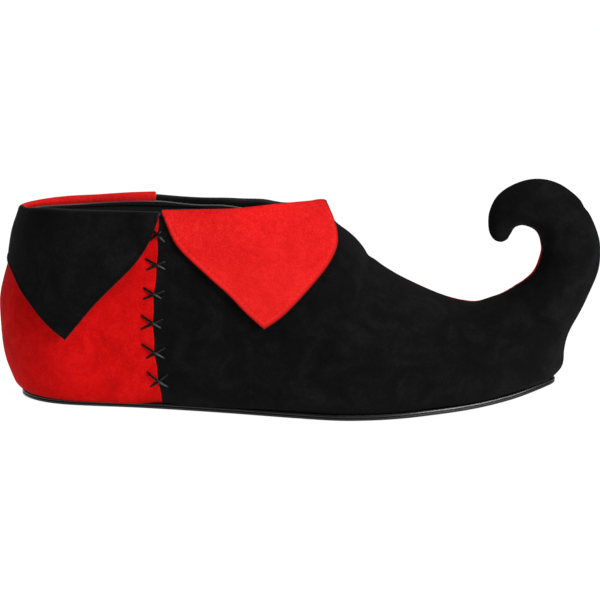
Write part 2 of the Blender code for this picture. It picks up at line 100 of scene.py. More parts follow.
rings = {
    "prow": (100.9, 26.2, 92.0, 64.5, 18.7),
    "bow": (101.7, 38.3, 93.3, 67.1, 16.2),
    "neckLow": (103.8, 50.9, 94.9, 72.1, 14.4),
    "neck": (105.8, 63.1, 96.1, 78.5, 13.5),
    "bendLow": (107.2, 75.7, 96.5, 84.3, 13.2),
    "bend": (106.9, 88.8, 96.0, 89.3, 13.0),
    "bendHigh": (104.7, 102.8, 94.9, 92.9, 12.7),
    "crestFront": (100.7, 114.5, 93.4, 94.6, 12.2),
    "crest": (95.3, 118.7, 92.2, 94.7, 11.3),
    "crestBack": (90.3, 114.7, 91.1, 93.2, 9.8),
    "fall": (87.3, 106.1, 90.5, 90.7, 7.8),
    "fallLow": (86.6, 96.7, 90.1, 88.8, 5.7),
    "nose": (87.0, 90.2, 89.8, 87.5, 4.0),
    "tip": (88.4, 86.4, 88.4, 86.4, 0.0),
}
# Height of the collar's rim at the sections up to the throat
rims = {lateral: (94.0, 94.6, 95.8, 97.1, 98.0, 99.9, 102.2, 101.8),
        medial: (94.0, 93.6, 93.2, 94.6, 95.3, 94.7, 94.8, 101.8)}
sectionOrder = list(sections)
seamStation = sectionOrder.index("sideSeam")
quarterStation = sectionOrder.index("quarter")
throatStation = sectionOrder.index("throat")
toeStation = len(sections) - 1
tipStation = toeStation + len(rings)


# Natural cubic through evenly numbered values: line between neighbours plus their bends' cubic share
def spline(values):
    values = np.asarray(values, float)
    count = len(values)
    system = np.eye(count)
    pull = np.zeros(count)
    for row in range(1, count - 1):
        system[row, row - 1:row + 2] = 1, 4, 1
        pull[row] = 6 * (values[row - 1] - 2 * values[row] + values[row + 1])
    bend = np.linalg.solve(system, pull)

    def at(station):
        low = np.clip(np.floor(station).astype(int), 0, count - 2)
        share = station - low
        rest = 1 - share
        line = rest * values[low] + share * values[low + 1]
        return line + ((rest ** 3 - rest) * bend[low] + (share ** 3 - share) * bend[low + 1]) / 6

    return at


# The same curve with two more values past each end, so that it runs on round the heel or the tip
def runOn(values, before, after):
    curve = spline(list(before[1::-1]) + list(values) + list(after[:2]))
    return lambda station: curve(np.asarray(station, float) + 2)


# Columns in mm: what lies along goes by the sole's length, heights by the instep and widths by the ball
def columnsOf(table, names):
    sizes = [last["soleLength" if "Along" in name else "instepHeight" if "Up" in name else "ballWidth"]
             for name in names]
    return dict(zip(names, np.array(list(table.values())).T * np.array(sizes)[:, None] / 100))


# Rail over body and curl together; past the tip the inner seam runs on into the outer one
def rail(start, end, pastTip, heelSign=1):
    values = np.concatenate([start, end])
    return runOn(values, heelSign * values[1:3], pastTip[-2:-4:-1])


body, curl = columnsOf(sections, sectionColumns), columnsOf(rings, ringColumns)
curlAlong, curlUp = ((curl["outer" + way] + curl["inner" + way]) / 2 for way in ("Along", "Up"))
sideColumns = {lateral: "Outer", medial: "Inner"}
soleEdgeAlong = rail(body["soleAlong"], [], body["soleAlong"])
soleEdgeSide = {side: rail(body["sole" + name], [], -body["sole" + name], -1)
                for side, name in sideColumns.items()}
swellAlong, swellUp = rail(body["swellAlong"], curlAlong, curlAlong), rail(body["swellUp"], curlUp, curlUp)
swellSide = {side: rail(body["swell" + name], curl["halfWidth"], -curl["halfWidth"], -1)
             for side, name in sideColumns.items()}
crownAlong, crownUp = (rail(body["crown" + way], curl["inner" + way], curl["outer" + way])
                       for way in ("Along", "Up"))


def smoothStep(low, high, value):
    share = np.clip((value - low) / (high - low), 0, 1)
    return share * share * (3 - 2 * share)


# Rises over a span's first two values and falls, by all or by a share, over its last two
def within(span, value, fall=1.0):
    return smoothStep(span[0], span[1], value) * (1 - fall * smoothStep(span[2], span[3], value))


def bell(value, width, middle=0.0):
    return np.exp(-((value - middle) / width) ** 2)


# Rise of the sole towards the toe: a parabola from where the spring starts, a little flatter under the toes
def toeSpring(along):
    rise = np.clip(along - last["springStart"], 0, None) / (last["soleLength"] - last["springStart"])
    return last["toeSpring"] * rise ** 2 - last["springFlat"] * within(last["flatSpan"], along)


# Sole outline moved in from its edge at right angles to it
def soleOutline(side, station, inset):
    step = 1e-3
    runAlong = soleEdgeAlong(station + step) - soleEdgeAlong(station - step)
    runSide = soleEdgeSide[side](station + step) - soleEdgeSide[side](station - step)
    length = np.hypot(runAlong, runSide)
    along = soleEdgeAlong(station) + inset * runSide / length
    across = soleEdgeSide[side](station) - inset * runAlong / length
    return along, np.where(across < 1e-6, 0, across)


seatUp = last["soleThickness"] + last["seatGap"]
prowStartAlong = soleOutline(lateral, np.array([toeStation]), last["featherInset"])[0]
prowStartUp = toeSpring(prowStartAlong) + seatUp


# Outer seam of the curl: from the end of the feather line, past the tip into the inner seam
def prowRail(start, outer, inner):
    return runOn(np.concatenate([start, outer]), 2 * start - outer[:2], inner[-2:-4:-1])


prowAlong = prowRail(prowStartAlong, curl["outerAlong"], curl["innerAlong"])
prowUp = prowRail(prowStartUp, curl["outerUp"], curl["innerUp"])


# Lower edge of the upper: the feather line on the sole, then the outer seam of the curl
def upperFoot(side, station):
    onProw = np.clip(station - toeStation, 0, None)
    along, across = soleOutline(side, np.clip(station, 0, toeStation), last["featherInset"])
    up = toeSpring(along) + seatUp
    past = station > toeStation
    return (np.where(past, prowAlong(onProw), along), np.where(past, 0, across),
            np.where(past, prowUp(onProw), up))


throatAlong = soleEdgeAlong(throatStation)


# The rim of one side runs on into that of the other round the heel and at the throat
def rimLine(side):
    own, other = (np.array(rims[end]) * last["instepHeight"] / 100 for end in (side, -side))
    return runOn(own, other[1:3], other[-2:-4:-1])


rimLines = {side: rimLine(side) for side in (lateral, medial)}


# The inner rim sags a little more just before the throat
def rimUp(side, station):
    sag = last["rimSag"] * within(last["rimSagSpan"], station) * (side == medial)
    return rimLines[side](np.clip(station, 0, throatStation)) - sag


# Outer face of the upper: a quarter ellipse from the foot (turn -1) to the swell (0), and above it
# an ellipse to the crown (1) that becomes an upright collar behind the throat
def upperFace(side, station, turn):
    station, turn = np.broadcast_arrays(np.asarray(station, float), np.asarray(turn, float))
    footAlong, footAcross, footUp = upperFoot(side, station)
    wideAlong, wideUp, wideAcross = swellAlong(station), swellUp(station), swellSide[side](station)
    topAlong, topUp = crownAlong(station), crownUp(station)

    sharp = 1 + (last["ridgeSharpness"] - 1) * smoothStep(seamStation, throatStation + 1, station)
    low = np.clip(1 + turn, 0, 1) * math.pi / 2
    high = np.clip(turn, 0, 1) * math.pi / 2
    out, rise = np.sin(low) ** sharp, 1 - np.cos(low)
    climb, close = np.sin(high), np.clip(np.cos(high), 0, 1) ** sharp

    behind = station < throatStation
    reach = np.hypot(wideAlong - topAlong, wideAcross) * behind + 1e-9
    collar = 1 - smoothStep(last["uprightUntil"], throatAlong, soleEdgeAlong(np.clip(station, 0, toeStation)))
    height = wideUp + (topUp - wideUp) * climb
    upright = smoothStep(wideUp, rimUp(side, station), height)
    drawIn = 1 - last["collarRadius"] / np.maximum(reach, last["collarRadius"])
    close = np.where(behind, close * (1 - collar) + collar * (1 - drawIn * upright), close)

    roundHeel = 1 - smoothStep(quarterStation - 0.5, quarterStation + 0.5, station)
    swing = rise + (out - rise) * roundHeel
    lean = climb + (1 - close - climb) * roundHeel
    above = turn > 0
    along = np.where(above, wideAlong + (topAlong - wideAlong) * lean,
                     footAlong + (wideAlong - footAlong) * swing)
    across = np.where(above, wideAcross * close, footAcross + (wideAcross - footAcross) * out)
    up = np.where(above, height, footUp + (wideUp - footUp) * rise)
    return np.stack([along, side * across, up], axis=-1)


# Turn at which a section reaches the collar's rim, or 1 where it closes at the ridge
def rimTurn(side, station):
    behind = np.minimum(station, throatStation)
    share = (rimUp(side, behind) - swellUp(behind)) / (crownUp(behind) - swellUp(behind))
    return np.arcsin(np.where(station < throatStation, np.clip(share, 0, 1), 1)) * 2 / math.pi


# Turn at which a section reaches a given height
def heightTurn(side, station, up):
    footUp = upperFoot(side, station)[2]
    wideUp, topUp = swellUp(station), crownUp(station)
    low = np.arccos(np.clip(1 - (up - footUp) / (wideUp - footUp), -1, 1))
    high = np.arcsin(np.clip((up - wideUp) / (topUp - wideUp), -1, 1))
    return np.where(up < wideUp, low * 2 / math.pi - 1, high * 2 / math.pi)


# How finely stations are looked up, a panel's length is measured, the seam is found and edges are searched
fineness = {"stations": 2401, "lengthSteps": 1500, "seamRounds": 4, "edgeParts": 12}
stationNumbers = np.linspace(0, toeStation, fineness["stations"])


def stationAt(along):
    return np.interp(along, soleEdgeAlong(stationNumbers), stationNumbers)


def unit(vectors):
    return vectors / np.maximum(np.linalg.norm(vectors, axis=-1, keepdims=True), 1e-12)


# Straight out of the face: the cross of its two small steps
def upperNormal(side, station, turn):
    step = 1e-3
    forward = upperFace(side, station + step, turn) - upperFace(side, station - step, turn)
    upward = upperFace(side, station, np.minimum(turn + step, 1)) - upperFace(side, station, turn - step)
    return unit(-side * np.cross(forward, upward))


# Shoe millimetres to the frame's metres: the back of the sole and the centre seam come from the sole
soleLow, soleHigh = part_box("outsole")
shoeOrigin = np.array([soleLow.x, soleHigh.y - soleEdgeSide[medial](stationNumbers).max() * mm, soleLow.z])


def toFrame(points):
    return np.asarray(points) * mm + shoeOrigin


# Shares from 0 to 1 with a few close steps at both ends, where an edge is rounded
edgeSteps = np.array([0, 0.08, 0.2, 0.38, 0.62, 0.95])


def edgeShares(count, length):
    ends = edgeSteps / length
    middle = np.linspace(ends[-1], 1 - ends[-1], count)
    return np.concatenate([ends[:-1], middle, 1 - ends[-2::-1]])


# Cross of a grid's two gradients, turned to the given side
def gridNormals(points, flip):
    across = np.cross(np.gradient(points, axis=0), np.gradient(points, axis=1))
    return unit(flip * across)


# Length along one axis of a grid, from its start
def runLength(points, axis):
    steps = np.linalg.norm(np.diff(points, axis=axis), axis=-1)
    start = np.zeros_like(np.take(steps, [0], axis=axis))
    return np.cumsum(np.concatenate([start, steps], axis=axis), axis=axis)


# Distance to the four edges of a grid, measured along its lines: start, end, foot, top
def edgeDistances(points):
    along, up = runLength(points, 0), runLength(points, 1)
    return along, along[-1:] - along, up, up[:, -1:] - up


# Half thickness that falls to nothing in a quarter circle at an edge
def roundedHalf(distance, thickness, radius):
    near = np.clip(1 - distance / radius, 0, 1)
    return thickness / 2 * np.sqrt(1 - near ** 2)


def gridQuads(columns, rows, start=0, flip=False):
    index = np.arange(columns * rows).reshape(columns, rows) + start
    quads = np.stack([index[:-1, :-1], index[1:, :-1], index[1:, 1:], index[:-1, 1:]], axis=-1).reshape(-1, 4)
    return quads[:, ::-1] if flip else quads


# Both faces of a sheet as one point list: the middle grid moved out and in by its half thickness
def sheetSkin(middle, normals, half):
    columns, rows = half.shape
    offset = normals * half[..., None]
    points = np.concatenate([(middle + offset).reshape(-1, 3), (middle - offset).reshape(-1, 3)])
    quads = np.concatenate([gridQuads(columns, rows), gridQuads(columns, rows, columns * rows, True)])
    return points, quads


def joinParts(parts):
    starts = np.cumsum([0] + [len(points) for points, _ in parts[:-1]])
    return (np.concatenate([points for points, _ in parts]),
            np.concatenate([quads + start for (_, quads), start in zip(parts, starts)]))


# Tubes carried along paths: an oval of two half sizes about each path point, closed by its end rings. It
# stands along the normals or square to the path, and its UV is the share along and the share round.
def tubes(paths, normals, halfWidth, halfHeight, sides, square=False):
    count, length = paths.shape[:2]
    ways = unit(np.gradient(paths, axis=1))
    sideways = unit(np.cross(ways, normals))
    upward = unit(np.cross(sideways, ways)) if square else normals
    turn = np.arange(sides) * 2 * math.pi / sides
    ring = (np.cos(turn)[:, None] * (sideways * halfWidth[..., None])[:, :, None]
            + np.sin(turn)[:, None] * (upward * halfHeight[..., None])[:, :, None])
    points = (paths[:, :, None] + ring).reshape(-1, 3)
    index = np.arange(count * length * sides).reshape(count, length, sides)
    after = np.roll(index, -1, axis=2)
    quads = np.stack([index[:, :-1], after[:, :-1], after[:, 1:], index[:, 1:]], axis=-1)
    shares = np.meshgrid(np.linspace(0, 1, length), np.arange(sides) / sides, indexing="ij")
    return points, quads.reshape(-1, 4), np.tile(np.stack(shares, axis=-1).reshape(-1, 2), (count, 1))


weldGap = 0.0000005  # metres: closes the edges of a skin and joins nothing else


# Mesh object from points in shoe mm and quads: doubles are welded and faces turned outwards. Marks and
# face finishes that are given for one face of a skin serve for its other face too.
def makePiece(name, points, quads, finishNames, faceFinish=None, marks=None, uv=None):
    mesh = bpy.data.meshes.new(name)
    mesh.from_pydata(toFrame(points).tolist(), [], quads.tolist())
    for markName, values in (marks or {}).items():
        field = mesh.attributes.new(markName, "FLOAT", "POINT")
        field.data.foreach_set("value", np.resize(values, len(points)))
    if uv is not None:
        layer = mesh.uv_layers.new(name="along")
        layer.data.foreach_set("uv", np.asarray(uv)[quads.ravel()].ravel())
    for finish in finishNames:
        mesh.materials.append(finishOf[finish])
    if faceFinish is not None:
        slots = np.resize(faceFinish, len(quads)).astype(np.int32)
        mesh.polygons.foreach_set("material_index", slots)
    work = bmesh.new()
    work.from_mesh(mesh)
    bmesh.ops.remove_doubles(work, verts=work.verts, dist=weldGap)
    bmesh.ops.recalc_face_normals(work, faces=work.faces)
    if work.calc_volume(signed=True) < 0:
        bmesh.ops.reverse_faces(work, faces=work.faces)
    work.to_mesh(mesh)
    work.free()
    mesh.shade_smooth()
    piece = bpy.data.objects.new(name, mesh)
    bpy.context.scene.collection.objects.link(piece)
    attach(piece, "root")
    print("made", name, len(mesh.polygons), "faces")
    return piece


# sRGB hex to linear
def hexColour(code):
    values = [int(code[place:place + 2], 16) / 255 for place in (1, 3, 5)]
    linear = [v / 12.92 if v <= 0.04045 else ((v + 0.055) / 1.055) ** 2.4 for v in values]
    return (*linear, 1.0)


# Materials: one function adds a node with its settings, its links and, on a ramp, its stops
def addNode(tree, kind, settings=None, links=None, stops=()):
    node = tree.nodes.new(kind)
    for name, value in (settings or {}).items():
        if isinstance(name, str) and hasattr(node, name):
            setattr(node, name, value)
        else:
            node.inputs[name].default_value = value
    for socket, source in (links or {}).items():
        tree.links.new(source, node.inputs[socket])
    for position, _ in stops[1:-1]:
        node.color_ramp.elements.new(position)
    for place, (position, code) in enumerate(stops):
        node.color_ramp.elements[place].position = position
        node.color_ramp.elements[place].color = hexColour(code)
    return node


def newMaterial(name, settings):
    material = bpy.data.materials.new(name)
    material.use_nodes = True
    shader = material.node_tree.nodes["Principled BSDF"]
    for socket, value in settings.items():
        shader.inputs[socket].default_value = value
    return material, material.node_tree, shader


# Cells per metre for a pattern whose features measure this many millimetres
def perMetre(size):
    return 1000 / size


# Finishes: the tone runs through the colours and may vary the roughness, the relief is the bump. Each is
# made of layers: the pattern node, its settings, the output that is read and its share.
noise, wave, cells = "ShaderNodeTexNoise", "ShaderNodeTexWave", "ShaderNodeTexVoronoi"


# Suede is split hide, buffed until its fibres stand: no gloss, a soft sheen at a slant, and paler and
# darker strokes where the nap lies one way or the other. The nap is drawn coarser than the real
# 0.2 mm so that it shows at the picture's half millimetre a pixel.
# The first edge colour is for pale raw edges and, on the lapels, for painted highlight and painted light;
# edgeShade is the colour of painted shade
def suedeFinish(colours, rawEdgeAndPaintedLight, edgeShade, sheenTint, sheen, specular, clumpShare, strokeShare):
    stroke = {"Scale": perMetre(18.0), "Detail": 4.0, "Roughness": 0.55, "Distortion": 1.1}
    clump = {"Scale": perMetre(3.2), "Detail": 3.0, "Roughness": 0.6, "Distortion": 0.5}
    nap = {"Scale": perMetre(0.95), "Detail": 4.0, "Roughness": 0.7}
    return {"shader": {"Roughness": 0.93, "Sheen Weight": sheen, "Sheen Roughness": 0.45,
                       "Sheen Tint": hexColour(sheenTint), "Specular IOR Level": specular, "IOR": 1.45},
            "tone": ((noise, stroke, "Fac", strokeShare), (noise, clump, "Fac", clumpShare),
                     (noise, nap, "Fac", 1 - clumpShare - strokeShare)),
            "stops": (0.36, 0.5, 0.66), "colours": colours,
            "marks": {"rawEdgeAndPaintedLight": rawEdgeAndPaintedLight, "edgeShade": edgeShade},
            "relief": ((noise, nap, "Fac", 1), (noise, clump, "Fac", 1)),
            "bump": {"Strength": 0.55, "Distance": 0.16 * mm}}


# Moulded rubber: black with carbon, satin from the mould, dulled in patches by handling
def rubberFinish(coat, specular, rough, grain):
    return {"shader": {"Coat Weight": coat, "Coat Roughness": 0.27, "Specular IOR Level": specular,
                       "IOR": 1.52},
            "tone": ((noise, {"Scale": perMetre(22.0), "Detail": 3.0}, "Fac", 1),),
            "colours": ("#080808", "#111111"), "roughness": (rough, rough + 0.14),
            "relief": ((noise, {"Scale": perMetre(1.4), "Detail": 4.0}, "Fac", 1),),
            "bump": {"Strength": grain, "Distance": 0.1 * mm}}


# Sewing thread: twisted polyester, its twist drawn as bands across the piece's own length
def threadFinish(deep, pale):
    return {"shader": {"Roughness": 0.6, "Specular IOR Level": 0.1}, "place": "UV", "colours": (deep, pale),
            "tone": ((wave, {"Scale": 1.2, "bands_direction": "DIAGONAL"}, "Fac", 1),)}


pebbles = ((cells, {"Scale": perMetre(2.6)}, "Distance", 1),)
finishes = {
    "redSuede": suedeFinish(("#a80607", "#c4090a", "#da1515"), "#d83028", "#4a0303", "#ff9a8a",
                            0.03, 0.06, 0.2, 0.42),
    # A lighter copy of the red suede for the lapels: painted light for the extra light their upturned faces
    # catch
    "redSuedeBrushedUp": suedeFinish(("#c41212", "#dc1919", "#f02c2a"), "#fb2a26", "#4c0505", "#ff9a8a",
                                     0.05, 0.08, 0.2, 0.24),
    "blackSuede": suedeFinish(("#060606", "#0c0c0d", "#171718"), "#58585a", "#090909", "#b8b8c0",
                              0.035, 0.08, 0.14, 0.5),
    # Lining is a close black twill, dull, with a fine thread that only shows from near by
    "blackTwillLining": {
        "shader": {"Roughness": 0.85, "Sheen Weight": 0.05, "Specular IOR Level": 0.2},
        "tone": ((noise, {"Scale": perMetre(9.0), "Detail": 3.0}, "Fac", 1),),
        "colours": ("#0b0b0c", "#19191a"),
        "relief": ((wave, {"Scale": perMetre(5.4), "Distortion": 1.2, "Detail": 1.0,
                           "bands_direction": "DIAGONAL"}, "Fac", 1),),
        "bump": {"Strength": 0.3, "Distance": 0.2 * mm}},
    "mouldedRubber": rubberFinish(0.0, 0.3, 0.26, 0.12),
    # The bead along the sole's upper edge is rubbed bright
    "polishedRubberBead": rubberFinish(1.0, 0.1, 0.34, 0.02),
    # Crepe tread: the same rubber with a pebbled underside, dull where it meets the floor
    "pebbledTread": {
        "shader": {"Roughness": 0.7, "Specular IOR Level": 0.35},
        "tone": pebbles, "colours": ("#1e1e1e", "#0d0d0d"), "relief": pebbles,
        "bump": {"Strength": 0.5, "Distance": 0.6 * mm, "invert": True}},
    # Waxed leather thong: black, streaked along, a narrow highlight from its coat, and a painted grey
    # highlight towards its front ends
    "waxedThong": {
        "shader": {"Coat Weight": 0.12, "Coat Roughness": 0.15, "Specular IOR Level": 0.06},
        "place": "UV", "stretch": (3.0, 14.0, 1.0),
        "tone": ((noise, {"Scale": 1.0, "Detail": 3.0}, "Fac", 1),),
        "colours": ("#050505", "#0f0f0e"), "marks": {"paintedGlint": "#8e9292"}, "roughness": (0.3, 0.5)},
    # Insole board covered in thin charcoal leather, finely grained and a little worn
    "grainedFootbed": {
        "shader": {"Specular IOR Level": 0.35}, "colours": ("#1d1c1b", "#3d3a37"), "roughness": (0.45, 0.7),
        "tone": ((noise, {"Scale": perMetre(30.0), "Detail": 4.0}, "Fac", 1),),
        "relief": ((cells, {"Scale": perMetre(1.5), "feature": "SMOOTH_F1"}, "Distance", 1),),
        "bump": {"Strength": 0.25, "Distance": 0.2 * mm}},
    "redThread": threadFinish("#d01c1a", "#f0524b"),
    "blackThread": threadFinish("#060606", "#0d0d0d"),
    # Greys of the bead inside the lapels' fold: painted highlight, the darker one also painted shade
    "shadedGreyBinding": threadFinish("#464444", "#646161"),
    "litGreyBinding": threadFinish("#5c5a5a", "#7e7b7b"),
}


# Layers added by their shares
def addLayers(tree, place, layers):
    total = {}
    for kind, settings, output, share in layers:
        drawn = addNode(tree, kind, settings, {"Vector": place}).outputs[output]
        added = addNode(tree, "ShaderNodeMath", {"operation": "MULTIPLY_ADD", 1: share, 2: 0.0},
                        {0: drawn, **total})
        total = {2: added.outputs[0]}
    return total[2]


def makeFinish(name, finish):
    material, tree, shader = newMaterial(name, finish["shader"])
    place = addNode(tree, "ShaderNodeTexCoord").outputs[finish.get("place", "Object")]
    if "stretch" in finish:
        place = addNode(tree, "ShaderNodeMapping", {"Scale": finish["stretch"]}, {"Vector": place}).outputs[0]
    tone = addLayers(tree, place, finish["tone"])
    stops = list(zip(finish.get("stops", (0, 1)), finish["colours"]))
    colour = addNode(tree, "ShaderNodeValToRGB", {}, {"Fac": tone}, stops).outputs["Color"]
    for mark, code in finish.get("marks", {}).items():
        share = addNode(tree, "ShaderNodeAttribute", {"attribute_name": mark}).outputs["Fac"]
        colour = addNode(tree, "ShaderNodeMix", {"data_type": "RGBA", 7: hexColour(code)},
                         {"Factor": share, 6: colour}).outputs[2]
    tree.links.new(colour, shader.inputs["Base Color"])
    if "roughness" in finish:
        low, high = finish["roughness"]
        dull = addNode(tree, "ShaderNodeMapRange", {"To Min": low, "To Max": high}, {"Value": tone})
        tree.links.new(dull.outputs["Result"], shader.inputs["Roughness"])
    if "relief" in finish:
        relief = addLayers(tree, place, finish["relief"])
        bump = addNode(tree, "ShaderNodeBump", finish["bump"], {"Height": relief})
        tree.links.new(bump.outputs["Normal"], shader.inputs["Normal"])
    return material


finishOf = {name: makeFinish(name, finish) for name, finish in finishes.items()}
hides = {"red": {"panel": "redSuede", "lapel": "redSuedeBrushedUp", "thread": "redThread",
                 "slot": "red_suede"},
         "black": {"panel": "blackSuede", "lapel": "blackSuede", "thread": "blackThread",
                   "slot": "black_suede"}}
print("materials made")

# Side seams: a line that bows forward below and a little above its middle, drawn in at each cross
sideSeam = {"along": 70.4, "middleUp": 58.0, "lowBow": 6.4, "lowReach": 54.0, "highStep": 1.25,
            "highReach": 22.0, "scallop": 0.22, "pitch": 15.4, "topCross": 93.4, "gap": 0.12}


def seamAlong(up):
    rise = up - sideSeam["middleUp"]
    bow = sideSeam["lowBow"] * (np.minimum(rise, 0) / sideSeam["lowReach"]) ** 2
    bow = bow + sideSeam["highStep"] * smoothStep(0, sideSeam["highReach"], rise)
    ripple = np.cos((up - sideSeam["topCross"]) * 2 * math.pi / sideSeam["pitch"])
    return sideSeam["along"] + bow - sideSeam["scallop"] * ripple


# Four holes of each cross as along and up, laced by hand and none quite like the next:
# left low, left high, right low, right high
crossHoles = np.array([
    ((67.0, 91.4), (68.7, 97.6), (75.6, 90.8), (73.6, 97.4)),
    ((65.6, 75.8), (65.0, 82.1), (76.8, 76.3), (76.4, 81.3)),
    ((64.4, 60.3), (64.4, 66.7), (75.2, 60.8), (76.6, 65.6)),
    ((63.6, 44.0), (63.6, 52.0), (75.6, 44.8), (76.1, 50.4)),
    ((67.0, 28.3), (64.3, 36.4), (77.8, 28.6), (77.6, 34.9)),
    ((69.6, 12.2), (67.6, 20.9), (79.8, 12.6), (79.4, 20.3)),
])


def faceAt(side, along, up):
    station = stationAt(along)
    turn = heightTurn(side, station, up)
    return upperFace(side, station, turn), upperNormal(side, station, turn)


# Creases, listed in along and up on both sides: a soft trough from one place to the other
creaseColumns = ("fromAlong", "fromUp", "toAlong", "toUp", "width", "depth")
creases = {
    "curlBase": (285.5, 68.0, 296.5, 54.5, 2.6, 0.9),
    "curlBaseFold": (281.0, 62.0, 291.0, 49.0, 4.0, -0.5),
    "curlDent": (296.0, 108.0, 305.0, 118.0, 2.6, 0.7),
    "instepKink": (187.5, 90.0, 180.5, 66.0, 2.4, 0.8),
    "instepFold": (184.0, 104.0, 174.0, 68.0, 3.2, -0.2),
    "throatDip": (173.5, 118.0, 161.0, 78.0, 8.0, 3.3),
    "toeFront": (288.2, 5.0, 290.8, 31.0, 6.0, -1.4),
    "innerHollow": (250.0, 62.0, 277.0, 81.0, 5.0, 1.15),
    "crestRound": (294.0, 119.0, 311.0, 88.0, 6.0, -0.8),
    "tipFull": (250.0, 110.0, 252.0, 91.0, 4.5, -0.6),
    "heelTuck": (-12.5, 48.0, 0.0, -10.0, 5.0, 0.8),
    "toeValley": (240.0, 56.5, 266.0, 49.0, 5.5, 0.9),
    "ballWrinkleLow": (222.0, 30.0, 238.0, 31.5, 1.8, 0.22),
    "ballWrinkle": (224.0, 34.0, 240.0, 35.5, 1.8, 0.25),
    "waistPull": (96.0, 20.0, 130.0, 30.0, 6.0, 0.35),
    "heelPull": (14.0, 22.0, 46.0, 18.0, 5.0, 0.3),
}
creaseSpan = (-0.15, 0.25, 0.75, 1.15)  # share of the crease's length


# Trough: a bell across the crease's line, faded out at both its ends
def trough(points, crease):
    row = dict(zip(creaseColumns, crease))
    start = np.array([row["fromAlong"], row["fromUp"]])
    run = np.array([row["toAlong"], row["toUp"]]) - start
    flat = points[..., [0, 2]] - start
    length = np.linalg.norm(run)
    along = flat @ run / length ** 2
    across = (flat[..., 0] * run[1] - flat[..., 1] * run[0]) / length
    return -row["depth"] * bell(across, row["width"]) * within(creaseSpan, along)


def allCreases(points):
    return sum(trough(points, crease) for crease in creases.values())


# Slight unevenness of hand-worked hide: a few long waves in seeded directions
hideWaves = {"count": 7, "stretch": (0.7, 1.5), "phase": 6.3}


def unevenness(points, seed, waveLength, height):
    draw = np.random.default_rng(seed)
    total = np.zeros(points.shape[:-1])
    for _ in range(hideWaves["count"]):
        way = unit(draw.normal(size=3))
        reach = waveLength * draw.uniform(*hideWaves["stretch"])
        total += np.sin(points @ way * 2 * math.pi / reach + draw.uniform(0, hideWaves["phase"]))
    return height * total / math.sqrt(hideWaves["count"])


# Pucker: the hide is drawn in round each hole of the lacing
pucker = {"radius": 1.4, "depth": 0.5, "seamRadius": 4.0, "seamDepth": 0.4}


def puckers(points, side):
    total = np.zeros(points.shape[:-1])
    for holes in crossHoles:
        places, _ = faceAt(side, holes[:, 0], holes[:, 1])
        for place in places:
            gap = np.linalg.norm(points - place, axis=-1)
            total -= pucker["depth"] * bell(gap, pucker["radius"])
        middle = np.linalg.norm(points - places.mean(axis=0), axis=-1)
        total -= pucker["seamDepth"] * bell(middle, pucker["seamRadius"])
    return total


# Panels of the upper: quarter from the back seam to the side seam, vamp from there to the curl's tip
panel = {"thickness": 1.15, "edgeRadius": 0.6, "rows": 92, "rise": 96.0, "seed": 11, "waveLength": 26.0,
         "waveHeight": 0.12, "shiftReach": 1.5, "overRidge": 0.07, "overSpan": (7.0, 7.25, 10.4, 12.0),
         "underCurl": 0.2, "underSpan": (13.6, 16.6, 17.6, 19.2), "ridgeNear": 0.002}
panelRuns = {"quarter": (96, 78.0), "vamp": (300, 420.0)}  # columns and length
panelColours = {("quarter", lateral): "red", ("vamp", lateral): "black",
                ("quarter", medial): "black", ("vamp", medial): "red"}
# At the foot: pressed down as on a last, sagging over the sole's edge, skived, seated, with painted shade
panelFoot = {"press": 0.95, "pressReach": 5.0, "sagReach": (2.8, 3.5, 3.8, 6.8), "heelSag": 1.6,
             "heelSpan": (-5.0, 45.0, 62.0, 77.0), "heelFall": 0.95, "waistSag": 1.2,
             "waistSpan": (77.0, 92.0, 145.0, 200.0), "skived": 0.35, "skiveReach": (1.0, 9.0),
             "seatRoom": 0.05, "seatReach": 3.0, "shadeFrom": 3.6, "shade": 0.78, "shadeReach": 1.7,
             "broadShade": 0.11, "broadShadeReach": 11.0}
# At the seams: turned in, swollen beside them, more so at prow and tip, and raw at the side seam
panelSeam = {"turnedWidth": 1.5, "turnedDepth": 0.3, "innerDepth": 1.5, "swell": 0.3, "swellWidth": 3.2,
             "prowSwell": 0.6, "prowSpan": (13, 14, 18, 20), "tipSwell": 0.5, "tipStations": (22.5, 24.0),
             "rawReach": 0.45, "rawShare": 0.12}
farOff = 99.0


# Station of the side seam for each turn: where the seam's bowed line crosses that turn
def seamStations(side, turn):
    station = np.full(turn.shape, float(seamStation))
    for _ in range(fineness["seamRounds"]):
        station = stationAt(seamAlong(upperFace(side, station, turn)[..., 2]))
    return station


# Stations spaced evenly along the swell line, measured on the face itself
def evenStations(side, low, high, shares):
    fine = np.linspace(low, high, fineness["lengthSteps"])
    run = runLength(upperFace(side, fine, np.zeros_like(fine)), 0)
    return np.interp(shares * run[-1], run, fine)


def panelGrid(kind, side):
    rise = edgeShares(panel["rows"], panel["rise"])
    shares = edgeShares(*panelRuns[kind])
    if kind == "quarter":
        base = evenStations(side, 0, seamStation, shares)
        reach = base / seamStation
    else:
        base = evenStations(side, seamStation, tipStation, shares)
        reach = np.clip(1 - (base - seamStation) / panel["shiftReach"], 0, 1) ** 2
    seamTurn = rise * (1 + rimTurn(side, seamStation)) - 1
    shift = seamStations(side, seamTurn) - seamStation
    before, after = soleEdgeAlong(seamStation + np.array([-0.5, 0.5]))
    gap = sideSeam["gap"] / 2 / (after - before)
    shift = shift - gap if kind == "quarter" else shift + gap
    station = base[:, None] + reach[:, None] * shift
    turn = rise * (1 + rimTurn(side, station) - side * ridgeShift(station)) - 1
    return station, turn


# From the throat to the toe the outer half is drawn over the ridge, so that its seam lies on the inner
# side; inside the curl the inner half comes round a little
def ridgeShift(station):
    return (panel["overRidge"] * within(panel["overSpan"], station)
            - panel["underCurl"] * within(panel["underSpan"], station))


